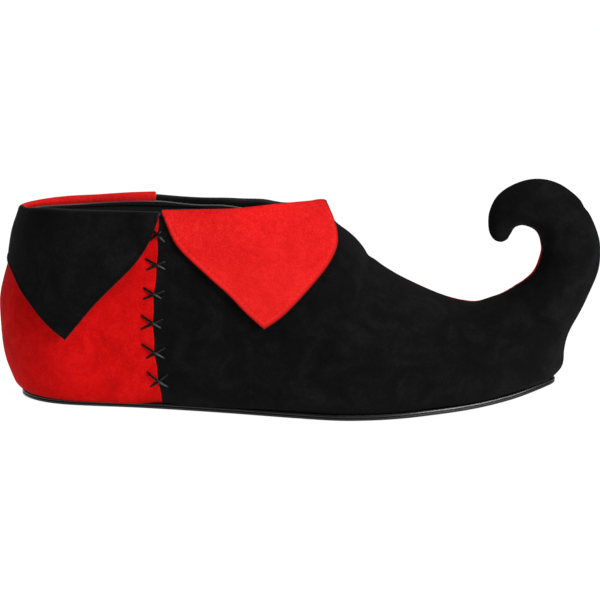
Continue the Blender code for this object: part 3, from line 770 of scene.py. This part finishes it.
# Face of a panel, past the ridge taken from the other side. Near the foot it is pressed down as on a
# last, and at the heel and the waist it sags a little over the sole's edge.
def panelFace(side, station, turn):
    past = (turn > 1)[..., None]
    face = np.where(past, upperFace(-side, station, np.minimum(2 - turn, 1)),
                    upperFace(side, station, np.minimum(turn, 1)))
    footAlong, footAcross, footUp = upperFoot(side, station)
    height = face[..., 2] - footUp
    reach = np.hypot(face[..., 0] - footAlong, face[..., 1] - side * footAcross)
    onSole = 1 - smoothStep(toeStation - 0.5, toeStation + 0.5, station)
    press = onSole * panelFoot["press"] * height * bell(height, panelFoot["pressReach"])
    sag = panelFoot["heelSag"] * within(panelFoot["heelSpan"], footAlong, panelFoot["heelFall"])
    sag = sag + panelFoot["waistSag"] * within(panelFoot["waistSpan"], footAlong)
    face[..., 2] -= press + within(panelFoot["sagReach"], reach) * sag
    return face, reach


def makePanel(kind, side):
    station, turn = panelGrid(kind, side)
    face, footReach = panelFace(side, station, turn)
    normals = gridNormals(face, -side)
    fromStart, fromEnd, fromFoot, fromTop = edgeDistances(face)
    onSole = station <= toeStation
    turned = fromStart if kind == "quarter" else np.where(station > throatStation, fromTop, farOff)
    nearToe = (station > toeStation - 1) & (turn < 0)
    outerSeam = np.where(onSole, np.where(nearToe, np.abs(face[..., 1]), farOff), fromFoot)
    swell = panelSeam["swell"] + panelSeam["prowSwell"] * within(panelSeam["prowSpan"], station)
    swell = swell + panelSeam["tipSwell"] * smoothStep(*panelSeam["tipStations"], station)
    relief = allCreases(face) + puckers(face, side)
    relief = relief + unevenness(face, panel["seed"] + side, panel["waveLength"], panel["waveHeight"])
    relief = relief + swell * bell(np.minimum(turned, outerSeam), panelSeam["swellWidth"])
    outerDepth = panelSeam["innerDepth" if side == medial else "turnedDepth"]
    for fromSeam, depth in ((turned, panelSeam["turnedDepth"]), (outerSeam, outerDepth)):
        relief = relief - depth * bell(fromSeam, panelSeam["turnedWidth"])
    face = face + normals * relief[..., None]
    normals = gridNormals(face, -side)

    skive = panelFoot["skived"] + (1 - panelFoot["skived"]) * smoothStep(*panelFoot["skiveReach"], fromFoot)
    skive = np.where(onSole, skive, 1.0)
    distance = np.minimum.reduce([fromStart, fromEnd, fromFoot, fromTop])
    half = skive * roundedHalf(distance, panel["thickness"], panel["edgeRadius"])
    middle = face - normals * (skive * panel["thickness"] / 2)[..., None]
    points, quads = sheetSkin(middle, normals, half)
    overRidge = np.tile((np.abs(ridgeShift(station)) > panel["ridgeNear"]).ravel(), 2)
    points[:, 1] = np.where(overRidge, points[:, 1], side * np.maximum(side * points[:, 1], 0.0))
    seat = toeSpring(points[:, 0]) + last["soleThickness"] + panelFoot["seatRoom"]
    seated = np.tile((onSole & (footReach < panelFoot["seatReach"])).ravel(), 2)
    points[:, 2] = np.where(seated, np.maximum(points[:, 2], seat), points[:, 2])

    sideEdge = fromEnd if kind == "quarter" else fromStart
    raw = panelSeam["rawShare"] * bell(sideEdge, panelSeam["rawReach"])
    # Painted shade: the suede darkens steeply just above the sole and a little over a broader band
    above = np.clip(fromFoot - panelFoot["shadeFrom"], 0, None)
    shade = panelFoot["shade"] * np.exp(-above / panelFoot["shadeReach"])
    shade = onSole * (shade + panelFoot["broadShade"] * np.exp(-above / panelFoot["broadShadeReach"]))
    hide = hides[panelColours[kind, side]]
    piece = makePiece(f"{kind}_{sideNames[side]}", points, quads, [hide["panel"]],
                      marks={"rawEdgeAndPaintedLight": raw, "edgeShade": shade})
    return piece


upperPieces = [makePanel(kind, side) for kind in ("quarter", "vamp") for side in (lateral, medial)]

# Lining: a thin shell inside the panels, from the insole to just under the rim
liningShell = {"thickness": 0.6, "edgeRadius": 0.5, "depth": 1.6, "columns": 170, "run": 260.0, "rows": 44,
               "rise": 90.0, "lastStation": 12.0, "footTurn": -0.985, "topDrop": 0.003, "parting": 0.01}


def makeLiningSide(side):
    rise = edgeShares(liningShell["rows"], liningShell["rise"])
    shares = edgeShares(liningShell["columns"], liningShell["run"])
    station = evenStations(side, 0, liningShell["lastStation"], shares)[:, None] + 0 * rise
    top = rimTurn(side, station) - liningShell["topDrop"]
    turn = liningShell["footTurn"] + rise * (top - liningShell["footTurn"])
    face = upperFace(side, station, turn)
    normals = gridNormals(face, -side)
    middle = face - normals * (liningShell["depth"] - allCreases(face))[..., None]
    distance = np.minimum.reduce(edgeDistances(face))
    half = roundedHalf(distance, liningShell["thickness"], liningShell["edgeRadius"])
    points, quads = sheetSkin(middle, normals, half)
    points[:, 1] = side * np.maximum(side * points[:, 1], liningShell["parting"])
    return points, quads


liningPoints, liningQuads = joinParts([makeLiningSide(side) for side in (lateral, medial)])
liningPiece = makePiece("collar_lining", liningPoints, liningQuads, ["blackTwillLining"])
upperPieces.append(liningPiece)
for piece in upperPieces:
    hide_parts("upper")
print("upper panels and lining made")

# Lapels: pointed flaps that fold out over the collar's rim
lapel = {"thickness": 1.7, "gap": 0.6, "innerLeg": 2.2, "parting": 0.55, "edgeRadius": 0.85, "size": 60.0,
         "columns": 62, "flapRows": 66, "rollRows": 18, "legRows": 7, "rimRoom": 0.9, "rimEase": 0.9,
         "rimEnd": 0.004, "startFade": (0.1, 0.7), "endFade": (0.3, 0.8), "seed": 31, "waveLength": 34.0,
         "wave": 0.25, "waveDrop": (0.05, 0.5)}
# Bead inside the fold, its grey a painted highlight, darker on the rear lapels as painted shade; how far
# below the fold's start it lies and the suede ends: the rear lapels reach down further towards the back,
# the front ones dip at one place
foldBead = {"radius": 0.4, "sides": 8, "finish": {"rear": "shadedGreyBinding", "front": "litGreyBinding"},
            "backDrop": 1.5, "backFade": 1.0, "backSpan": (5.0, 70.0), "dip": 1.3, "dipAlong": 90.0,
            "dipReach": 14.0, "slack": 0.01}
# Stitch line near the free edges, in a shallow groove
lapelSeam = {"inset": 2.5, "depth": 0.22, "width": 0.5}
# Painted shade at the free edge and inside the fold; pale raw edge; painted highlight on the fold's crest and
# along a line inside the edge; painted light towards the red lapels' tip
lapelLook = {"edgeShade": 0.8, "edgeReach": 1.0, "foldShade": 0.45, "foldReach": 0.25, "raw": 0.3,
             "rawReach": 0.5, "crest": 0.3, "crestHighlightPower": 8, "ridge": 0.25, "ridgeInset": 1.7,
             "ridgeWidth": 0.7, "paintedLight": 0.3, "paintedLightDrop": (0.15, 0.75)}
# The outer lapels' folds lean towards each other where they meet at the side seam: how far, from and to
# which share of the fold
lapelSlants = {"rear": (1.3, 0.8, 1.0), "front": (-1.2, 0.1, 0.0)}
# How far tip and free edge stand off the upper
lapelLifts = {"rear": {"spring": 2.2, "edge": 0.2}, "front": {"spring": 2.8, "edge": 0.9}}
liftShares = {"fromRim": (0.4, 1.0), "drop": (0.05, 0.4)}
# At the back seam the rear lapels are skived thin and hang straight from the fold to the heel's round
lapelBack = {"slim": 0.5, "slimReach": 16.0, "chord": 1.9, "chordDrop": 0.4, "chordReach": (6.0, 22.0)}
# Each flap's two edges, given in along and up: from the rear corner to the tip and on to the front
lapelEdges = {
    "rear": {"toTip": ((0.0, 74.5), (3.0, 69.6), (7.0, 62.9), (12.0, 55.2), (16.9, 47.9), (21.7, 42.1),
                       (26.3, 37.8)),
             "fromTip": ((26.3, 37.8), (33.6, 49.1), (41.6, 59.6), (51.4, 69.7), (59.6, 78.6), (66.0, 88.6),
                         (69.5, 97.4), (71.4, 103.8))},
    "front": {"toTip": ((74.2, 104.2), (76.4, 99.2), (79.9, 92.3), (85.9, 85.1), (95.9, 76.6), (105.9, 68.6),
                        (115.2, 60.7), (123.6, 53.4), (130.8, 48.0)),
              "fromTip": ((130.8, 48.0), (139.6, 54.4), (148.8, 63.9), (156.9, 73.5), (162.4, 81.0),
                          (165.7, 88.0), (166.3, 93.2), (165.6, 97.9), (163.8, 102.8), (161.2, 107.2))},
}
# How much higher or lower than a plain roll each fold stands, in even steps from its rear to its front end
lapelStands = {("rear", lateral): (0.2, 1.4, 0.9, 0.3, -0.1, -0.5, -0.9),
               ("front", lateral): (0.1, 0.25, 0.0, -0.7, -0.9, -0.45, 1.9),
               ("rear", medial): (0.0, -0.3, 0.5, 0.6, 0.95, 1.5, 2.05),
               ("front", medial): (0.6, -0.2, 0.1, 1.7, 1.4, -2.2, -2.2)}
# On the inner side both lapels meet a little further back, and the front one ends behind the outer one
lapelShifts = {("rear", medial): (0.0, -2.9), ("front", medial): (-6.0, -2.6)}
lapelColours = {("rear", lateral): "black", ("front", lateral): "red",
                ("rear", medial): "red", ("front", medial): "black"}


# Stations and heights along a flap's edge, moved along by a shift in mm
def edgeCurve(corners, shares, shift):
    along, up = np.transpose(corners)
    spot = shares * (len(corners) - 1)
    station = spline(stationAt(along))(spot)
    return stationAt(soleEdgeAlong(station) + shift), spline(up)(spot)


# Middle grid of a lapel: a leg inside the collar, a half circle over the rim, then rulings on the
# upper's own face from the rim to the flap's edge, lifted off it more and more towards the tip
def lapelGrid(kind, side):
    edges = lapelEdges[kind]
    shares = edgeShares(lapel["columns"], lapel["size"])
    startShift, endShift = lapelShifts.get((kind, side), (0.0, 0.0))
    startShift = startShift * (1 - smoothStep(*lapel["startFade"], shares))
    endShift = endShift * smoothStep(*lapel["endFade"], shares[1:])
    rearStation, rearUp = edgeCurve(edges["toTip"], shares, startShift)
    frontStation, frontUp = edgeCurve(edges["fromTip"], shares[1:], endShift)
    edgeStation = np.concatenate([rearStation, frontStation])
    edgeUp = np.concatenate([rearUp, frontUp])
    roomUp = rimUp(side, edgeStation) - lapel["rimRoom"]
    edgeUp = np.where(edgeStation < throatStation, np.minimum(edgeUp, roomUp), edgeUp)
    rimStation = edgeStation
    if kind == "front":
        toThroat = throatStation - lapel["rimEnd"] - rearStation[-1]
        eased = rearStation[-1] + toThroat * shares[1:] ** lapel["rimEase"]
        rimStation = np.concatenate([rearStation, eased])
    topTurn, edgeTurn = rimTurn(side, rimStation), heightTurn(side, edgeStation, edgeUp)

    ends = edgeSteps / lapel["size"]
    flapShare = np.concatenate([np.linspace(0, 1 - ends[-1], lapel["flapRows"]), 1 - ends[-2::-1]])
    station = rimStation[:, None] + (edgeStation - rimStation)[:, None] * flapShare
    turn = topTurn[:, None] + (edgeTurn - topTurn)[:, None] * flapShare
    face, normal = upperFace(side, station, turn), upperNormal(side, station, turn)
    drop = np.clip((face[:, :1, 2] - face[:, :, 2]) / lapel["size"], 0, 1)
    rimAlong = soleEdgeAlong(rimStation)
    back = lapelBack if kind == "rear" else dict(lapelBack, slim=1.0, chord=0.0)
    slim = back["slim"] + (1 - back["slim"]) * smoothStep(0, back["slimReach"], rimAlong)
    lift = slim[:, None] * (lapel["gap"] + lapel["thickness"] / 2 + lapelLifts[kind]["spring"] * drop ** 2)
    chord = back["chord"] * (1 - smoothStep(*back["chordReach"], rimAlong))
    lift = lift + chord[:, None] * np.sin(math.pi * np.clip(drop / back["chordDrop"], 0, 1))
    edgeLift = smoothStep(*liftShares["fromRim"], flapShare) * smoothStep(*liftShares["drop"], drop)
    lift = lift + lapelLifts[kind]["edge"] * edgeLift
    waves = unevenness(face, lapel["seed"] + side, lapel["waveLength"], lapel["wave"])
    lift = lift + waves * smoothStep(*lapel["waveDrop"], drop)
    flap = face + normal * lift[..., None]

    rim, out = face[:, 0], normal[:, 0]
    over = unit(np.cross(out, np.gradient(rim, axis=0)))
    over = over * np.sign(np.sum(over * (rim - face[:, 3]), axis=1, keepdims=True))
    centre = rim - out * last["wall"] / 2
    radius = (last["wall"] / 2 + slim * (lapel["gap"] + lapel["thickness"] / 2))[:, None, None]
    angle = np.linspace(math.pi, 0, lapel["rollRows"] + 1)[:-1, None]
    roll = centre[:, None] + radius * (np.cos(angle) * out[:, None] + np.sin(angle) * over[:, None])
    stands = lapelStands[kind, side]
    reach = (rimAlong - rimAlong[0]) / (rimAlong[-1] - rimAlong[0])
    stand = spline(stands)(reach * (len(stands) - 1))
    roll = roll + stand[:, None, None] * np.sin(angle) ** 2 * over[:, None]
    if side == lateral:
        lean, start, end = lapelSlants[kind]
        roll[..., 0] += lean * smoothStep(start, end, reach)[:, None] * np.sin(angle[:, 0])
    legRows = np.linspace(edgeSteps[-1], lapel["innerLeg"], lapel["legRows"])[:-1]
    legDrop = np.concatenate([edgeSteps[:-1], legRows])
    legUp = rim[:, None, 2] - (lapel["innerLeg"] - legDrop) * over[:, None, 2]
    legStation = np.repeat(rimStation[:, None], legUp.shape[1], axis=1)
    legTurn = heightTurn(side, legStation, legUp)
    leg = upperFace(side, legStation, legTurn)
    leg = leg - upperNormal(side, legStation, legTurn) * (last["wall"] / 2 + radius)
    grid = np.concatenate([leg, roll, flap], axis=1)
    grid[..., 1] = side * np.maximum(side * grid[..., 1], lapel["parting"])
    return grid, slim[:, None], leg.shape[1], leg.shape[1] + roll.shape[1]


# Distance of every flap point to the flap's free edges, in space
def freeEdgeDistance(flap):
    border = np.concatenate([flap[:, -1], flap[0], flap[-1]])
    flat = flap.reshape(-1, 3)
    nearest = np.full(len(flat), farOff)
    for part in np.array_split(border, fineness["edgeParts"]):
        nearest = np.minimum(nearest, np.linalg.norm(flat[:, None] - part, axis=2).min(axis=1))
    return nearest.reshape(flap.shape[:2])


# Line at one distance inside the free edges: down the first column that reaches it, along, and back up
def stitchPath(flap, distance, inset):
    reached = distance >= inset
    lowest = flap.shape[1] - 1 - np.argmax(reached[:, ::-1], axis=1)
    valid = np.flatnonzero(reached.any(axis=1))
    columns = valid[(lowest[valid] < flap.shape[1] - 1)]
    low = lowest[columns]
    near, far = distance[columns, low], distance[columns, low + 1]
    share = ((near - inset) / np.maximum(near - far, 1e-6))[:, None]
    along = flap[columns, low] * (1 - share) + flap[columns, low + 1] * share
    down, up = flap[columns[0], :low[0]], flap[columns[-1], :low[-1]][::-1]
    return np.concatenate([down, along, up])


stitch = {"pitch": 2.7, "length": 2.0, "radius": 0.2, "sag": 0.5, "ahead": 0.4, "rings": 7, "sides": 6,
          "lead": 0.75, "tail": 0.5}


# Evenly spaced places along a path, with the direction of the path there
def pathPlaces(path):
    run = runLength(path, 0)
    pitch = stitch["pitch"]
    spots = np.arange(pitch * stitch["lead"], run[-1] - pitch * stitch["tail"], pitch)
    at, ahead = (np.stack([np.interp(spots + step, run, path[:, axis]) for axis in range(3)], axis=1)
                 for step in (0, stitch["ahead"]))
    return at, unit(ahead - at)


# Each stitch is a short tube whose radius follows a half circle from end to end, bent into the hide
def stitchTubes(places, ways, normals):
    spread = np.linspace(-1, 1, stitch["rings"])
    sag = -stitch["sag"] * np.abs(spread) ** 3 * stitch["radius"] * 2
    paths = (places[:, None] + ways[:, None] * (spread * stitch["length"] / 2)[:, None]
             + normals[:, None] * sag[:, None])
    sizes = np.broadcast_to(np.sqrt(1 - spread ** 2) * stitch["radius"], paths.shape[:2])
    return tubes(paths, normals[:, None], sizes, sizes, stitch["sides"])


# How far below the fold's start the suede ends and the bead lies, inside the collar
def foldDrop(kind, along):
    if kind == "rear":
        return foldBead["backDrop"] - foldBead["backFade"] * smoothStep(*foldBead["backSpan"], along)
    return foldBead["dip"] * bell(along, foldBead["dipReach"], foldBead["dipAlong"])


def makeLapel(kind, side):
    name = f"lapel_{sideNames[side]}_{kind}"
    colour = lapelColours[kind, side]
    hide = hides[colour]
    grid, slim, rollStart, flapStart = lapelGrid(kind, side)
    distance = np.full(grid.shape[:2], farOff)
    distance[:, flapStart:] = freeEdgeDistance(grid[:, flapStart:])
    groove = lapelSeam["depth"] * bell(distance, lapelSeam["width"], lapelSeam["inset"])
    grid = grid - gridNormals(grid, side) * groove[..., None]
    normals = gridNormals(grid, side)
    border = np.minimum.reduce(edgeDistances(grid))
    half = slim * roundedHalf(border, lapel["thickness"], lapel["edgeRadius"])
    points, quads = sheetSkin(grid, normals, half)

    overFold = np.clip(np.arange(grid.shape[1]) - rollStart, 0, None) / lapel["rollRows"]
    # Painted shade along the free edge and inside the fold
    shade = lapelLook["edgeShade"] * bell(distance, lapelLook["edgeReach"])
    shade = shade + lapelLook["foldShade"] * (1 - smoothStep(0, lapelLook["foldReach"], overFold))
    # Painted highlight along the fold's crest
    crest = np.zeros(grid.shape[:2])
    overRoll = np.linspace(0, math.pi, lapel["rollRows"])
    crest[:, rollStart:flapStart] = lapelLook["crest"] * np.sin(overRoll) ** lapelLook["crestHighlightPower"]
    # Painted light: the red lapels paler towards the tip and along a line just inside the edge
    drop = (grid[:, flapStart:flapStart + 1, 2] - grid[..., 2]) / lapel["size"]
    paintedLight = lapelLook["paintedLight"] * smoothStep(*lapelLook["paintedLightDrop"], drop)
    paintedLight = paintedLight + lapelLook["ridge"] * bell(distance, lapelLook["ridgeWidth"], lapelLook["ridgeInset"])
    raw = lapelLook["raw"] * bell(border, lapelLook["rawReach"])
    # Real raw edge plus painted highlight and painted light, all mixed towards the first edge colour
    mark = np.clip(raw + crest + paintedLight * (colour == "red"), 0, 1)
    low = foldDrop(kind, grid[:, rollStart, 0])
    run = runLength(grid, 1)
    inside = run[:-1, :-1] < (run[:, rollStart + 1] - low)[:-1, None] - foldBead["slack"]
    piece = makePiece(name, points, quads, [hide["lapel"], "blackTwillLining"],
                      faceFinish=inside, marks={"rawEdgeAndPaintedLight": mark, "edgeShade": shade})
    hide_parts(name)

    skin = (grid + normals * half[..., None])[:, flapStart:]
    path = stitchPath(skin, distance[:, flapStart:], lapelSeam["inset"])
    places, ways = pathPlaces(path)
    flat = skin.reshape(-1, 3)
    nearest = [np.argmin(np.sum((flat - place) ** 2, axis=1)) for place in places]
    points, quads, uv = stitchTubes(places, ways, normals[:, flapStart:].reshape(-1, 3)[nearest])
    thread = makePiece(f"{name}_stitching", points, quads, [hide["thread"]], uv=uv)

    skin = grid + normals * (slim * lapel["thickness"] / 2)[..., None]
    foldStart, outward = skin[:, rollStart + 1], normals[:, rollStart + 1]
    bead = foldStart - low[:, None] * unit(foldStart - skin[:, 0])
    size = np.full((1, len(bead)), foldBead["radius"])
    size[:, [0, -1]] = 0
    points, quads, uv = tubes(bead[None], outward[None], size, size, foldBead["sides"])
    edging = makePiece(f"{name}_inner_bead", points, quads, [foldBead["finish"][kind]], uv=uv)


for kind in ("rear", "front"):
    for side in (lateral, medial):
        makeLapel(kind, side)
print("lapels made")

# Thong crosses: each strand leaves one hole, rides over the seam and dives into the other, thinner at
# its ends, with a painted highlight on its upper flank towards its front end
strand = {"halfWidth": 0.74, "halfHeight": 0.42, "ride": 0.62, "dive": -0.9, "overlap": 0.6,
          "archPower": 0.55, "ends": 0.55, "taperPower": 0.7, "rings": 30, "sides": 12, "glintHigh": 0.04,
          "glintLow": 0.17, "glintSpan": (0.5, 0.68, 0.86, 0.97)}
strandShares = np.linspace(0, 1, strand["rings"])


def strandPath(side, start, end, ride):
    spot = start + (end - start) * strandShares[:, None]
    face, normal = faceAt(side, spot[:, 0], spot[:, 1])
    arch = np.sin(math.pi * strandShares) ** strand["archPower"]
    return face + normal * (strand["dive"] + (ride - strand["dive"]) * arch)[:, None], normal


def makeCross(side, number):
    name = f"cross_stitch_{sideNames[side]}_{number + 1}"
    holes = crossHoles[number]
    turn = np.arange(strand["sides"]) * 2 * math.pi / strand["sides"]
    # Painted highlight on the strand's upper flank
    litFlank = np.clip(np.sin(turn) + side * np.cos(turn), 0, 1) ** 2
    taper = strand["ends"] + (1 - strand["ends"]) * np.sin(math.pi * strandShares) ** strand["taperPower"]
    taper[[0, -1]] = 0
    parts, glints = [], []
    under, over = (0, 3, 0.0, strand["glintHigh"]), (1, 2, strand["overlap"], strand["glintLow"])
    for start, end, lift, glint in (under, over):
        path, normal = strandPath(side, holes[start], holes[end], strand["ride"] + lift)
        parts.append(tubes(path[None], normal[None], taper[None] * strand["halfWidth"],
                           taper[None] * strand["halfHeight"], strand["sides"], square=True))
        glints.append(glint * within(strand["glintSpan"], strandShares)[:, None] * litFlank)
    points, quads = joinParts([part[:2] for part in parts])
    uv = np.concatenate([part[2] for part in parts])
    piece = makePiece(name, points, quads, ["waxedThong"], marks={"paintedGlint": glints}, uv=uv)
    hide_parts(name)


for side in (lateral, medial):
    for number in range(len(crossHoles)):
        makeCross(side, number)
print("thong crosses made")

# Sole: its side profile as inset and up, with a groove under a rounded bead, carried round the outline
soleSide = ((5.0, 0.0), (1.3, 0.0), (0.75, 0.06), (0.4, 0.28), (0.24, 0.65), (0.2, 1.05), (0.24, 1.4),
            (0.5, 1.58), (0.62, 1.7), (0.5, 1.82), (0.12, 1.95), (0.0, 2.08), (0.07, 2.32), (0.25, 2.78),
            (0.42, 3.04), (0.7, 3.16), (1.1, 3.2), (5.0, 3.2))
insoleSide = ((6.2, 3.5), (5.75, 3.6), (5.6, 3.95), (5.6, 4.7), (5.75, 5.1), (6.3, 5.3), (8.0, 5.3))
solePlan = {"columns": 230, "capRows": 24, "beadRows": range(10, 17)}


# Plate: the profile round both sides of the outline, and a flat grid between them at each end
def makePlate(name, profile, finishNames, bottomSlot, beadRows=()):
    station = np.linspace(0, toeStation, solePlan["columns"])[:, None]
    insets, heights = (np.array(values) for values in zip(*profile))
    rowSlots = 2 * np.isin(np.arange(len(profile) - 1), beadRows)
    sides, parts, slots = {}, [], []
    for side in (lateral, medial):
        along, across = soleOutline(side, station, insets)
        sides[side] = np.stack([along, side * across, toeSpring(along) + heights], axis=-1)
        parts.append((sides[side].reshape(-1, 3), gridQuads(*sides[side].shape[:2])))
        slots.append(np.tile(rowSlots, solePlan["columns"] - 1))
    share = np.linspace(0, 1, solePlan["capRows"])[:, None]
    for row, slot in ((0, bottomSlot), (len(profile) - 1, 0)):
        left, right = sides[lateral][:, None, row], sides[medial][:, None, row]
        cap = left + (right - left) * share
        parts.append((cap.reshape(-1, 3), gridQuads(*cap.shape[:2])))
        slots.append(np.full(len(parts[-1][1]), slot))
    points, quads = joinParts(parts)
    return makePiece(name, points, quads, finishNames, faceFinish=np.concatenate(slots))


solePiece = makePlate("rubber_sole", soleSide, ["mouldedRubber", "pebbledTread", "polishedRubberBead"], 1,
                      solePlan["beadRows"])
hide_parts("outsole")
insolePiece = makePlate("footbed", insoleSide, ["grainedFootbed"], 0)
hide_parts("insole")
print("sole and insole made")

# Stage: a white floor, soft boxes and an even white surround
stage = {"floorSize": 9.0, "floorDrop": 0.0004, "floorShade": 0.12, "floorGlow": 0.98, "surround": 0.1}


def makeStage():
    half = stage["floorSize"] / 2
    mesh = bpy.data.meshes.new("floor")
    corners = [(-half, -half, 0), (half, -half, 0), (half, half, 0), (-half, half, 0)]
    mesh.from_pydata(corners, [], [(0, 1, 2, 3)])
    floor = bpy.data.objects.new("floor", mesh)
    floor.location.z = -stage["floorDrop"]
    mesh.materials.append(newMaterial("paintedFloor", {
        "Base Color": (*[stage["floorShade"]] * 3, 1), "Roughness": 0.8, "Specular IOR Level": 0.1,
        "Emission Color": (1, 1, 1, 1), "Emission Strength": stage["floorGlow"]})[0])
    bpy.context.scene.collection.objects.link(floor)
    world = bpy.data.worlds.new("surround")
    world.use_nodes = True
    background = world.node_tree.nodes["Background"]
    background.inputs["Color"].default_value = (1, 1, 1, 1)
    background.inputs["Strength"].default_value = stage["surround"]
    bpy.context.scene.world = world


# Soft boxes: place in metres, size and power; each faces the shoe's middle
shoeMiddle = Vector((0, 0, 0.05))
softBoxes = {
    "keyBox": {"place": (1.5, -1.48, 0.85), "size": (1.0, 0.6), "power": 41.0},
    "topBox": {"place": (0.15, 0.15, 1.8), "size": (1.2, 1.2), "power": 13.0},
}


def makeSoftBoxes():
    for name, box in softBoxes.items():
        data = bpy.data.lights.new(name, "AREA")
        data.shape = "RECTANGLE"
        data.size, data.size_y = box["size"]
        data.energy = box["power"]
        light = bpy.data.objects.new(name, data)
        light.location = box["place"]
        light.rotation_euler = (shoeMiddle - light.location).to_track_quat("-Z", "Y").to_euler()
        bpy.context.scene.collection.objects.link(light)


makeStage()
makeSoftBoxes()
bpy.context.scene.view_settings.view_transform = "Standard"
print("stage and lights made")
